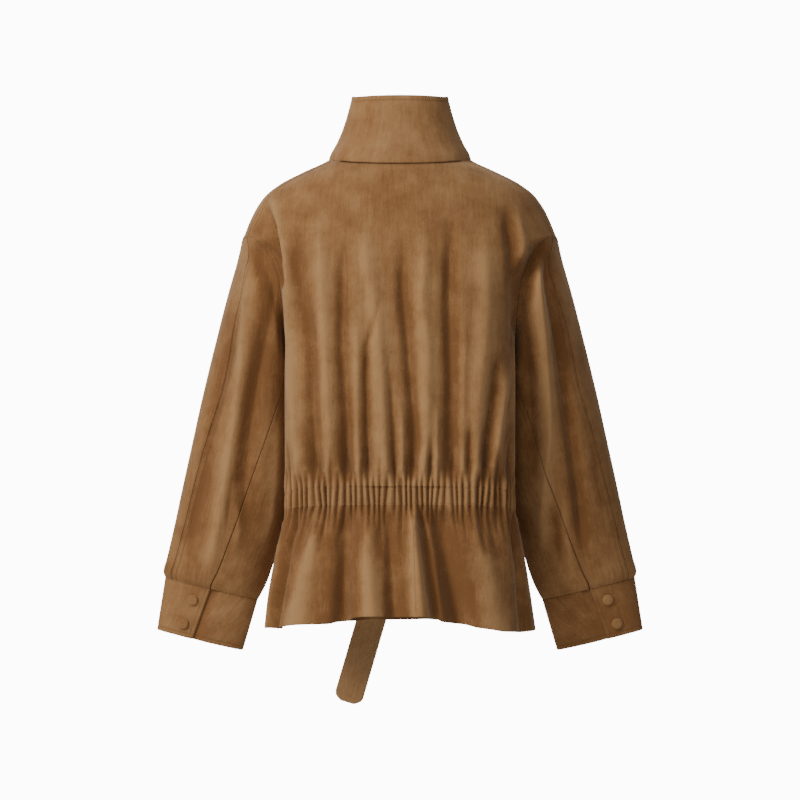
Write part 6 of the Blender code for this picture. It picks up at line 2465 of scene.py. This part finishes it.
@dataclass(frozen=True)
class Lamp:
    """A soft round lamp that looks at the jacket's middle."""

    name: str
    place: tuple[float, float, float]
    size: float
    power: float
    colour: Colour = (1.0, 1.0, 1.0)

    def hang(self) -> None:
        """Put it in the scene."""
        lamp = bpy.data.lights.new(self.name, "AREA")
        lamp.shape = "DISK"
        lamp.size = self.size
        lamp.energy = self.power
        lamp.color = self.colour
        holder = placed(self.name, lamp)
        holder.location = self.place
        aim = Vector((0.0, 0.0, VIEW_HEIGHT)) - Vector(self.place)
        holder.rotation_euler = aim.to_track_quat("-Z", "Y").to_euler()


@dataclass
class Studio:
    """A plain pale floor, soft lights and the camera behind the jacket."""

    floor_z: float = -1.45
    floor_size: float = 8.0
    ambient: float = 0.20
    backdrop: float = 12.0
    frame_width: float = 1.12
    sensor: float = 36.0
    sight: float = 60.0
    lamps: tuple[Lamp, ...] = (
        Lamp("key", (2.8, 2.4, 1.5), 1.6, 130.0, (1.0, 0.985, 0.96)),
        Lamp("top", (0.5, 1.7, 2.2), 1.4, 32.0, (1.0, 0.99, 0.975)),
        Lamp("fill", (-1.6, 3.2, -0.4), 2.0, 3.0),
        Lamp("front", (0.6, -2.6, 1.4), 2.0, 60.0),
    )

    def build(self, finish: bpy.types.Material) -> None:
        """Set up the floor, the lights and the camera."""
        self.floor(finish)
        self.world()
        for lamp in self.lamps:
            lamp.hang()
        self.camera()

    def floor(self, finish: bpy.types.Material) -> None:
        """Lay the floor in this finish."""
        half = self.floor_size / 2
        mesh = bpy.data.meshes.new("floor")
        corners = [(-half, -half), (half, -half), (half, half), (-half, half)]
        mesh.from_pydata([(x, y, self.floor_z) for x, y in corners], [], [(0, 1, 2, 3)])
        mesh.materials.append(finish)
        placed("floor", mesh)

    def world(self) -> None:
        """Light the room evenly, before a bright white backdrop."""
        world = bpy.data.worlds.new("studio")
        world.use_nodes = True
        graph = Graph(world.node_tree)
        sky = world.node_tree.nodes["Background"]
        sky.inputs["Color"].default_value = (1.0, 1.0, 1.0, 1.0)
        behind = Value(graph, graph.node("ShaderNodeLightPath").outputs["Is Camera Ray"])
        strength = self.ambient + behind * (self.backdrop - self.ambient)
        graph.tree.links.new(strength.socket, sky.inputs["Strength"])
        bpy.context.scene.world = world

    def camera(self) -> None:
        """Stand the camera straight behind the jacket."""
        lens = bpy.data.cameras.new("camera")
        lens.sensor_width = self.sensor
        lens.lens = self.sensor * VIEW_DISTANCE / self.frame_width
        lens.dof.use_dof = False
        lens.clip_end = self.sight
        camera = placed("camera", lens)
        camera.location = (0.0, VIEW_DISTANCE, VIEW_HEIGHT)
        camera.rotation_euler = (math.pi / 2, 0.0, math.pi)
        bpy.context.scene.camera = camera


def main() -> None:
    """Build and dress the jacket, then set the studio round it."""
    logging.basicConfig(level=logging.INFO, format="%(name)s %(message)s")
    wardrobe = {finish: kind.material(finish.value) for finish, kind in FINISHES.items()}
    for part in (BackBodice, Fronts, StandCollar, Waist, Peplum, Sleeves, Cuffs, Snaps, TieBelt):
        part(wardrobe).build()
    Studio().build(wardrobe[Finish.FLOOR])


if __name__ == "__main__":
    main()
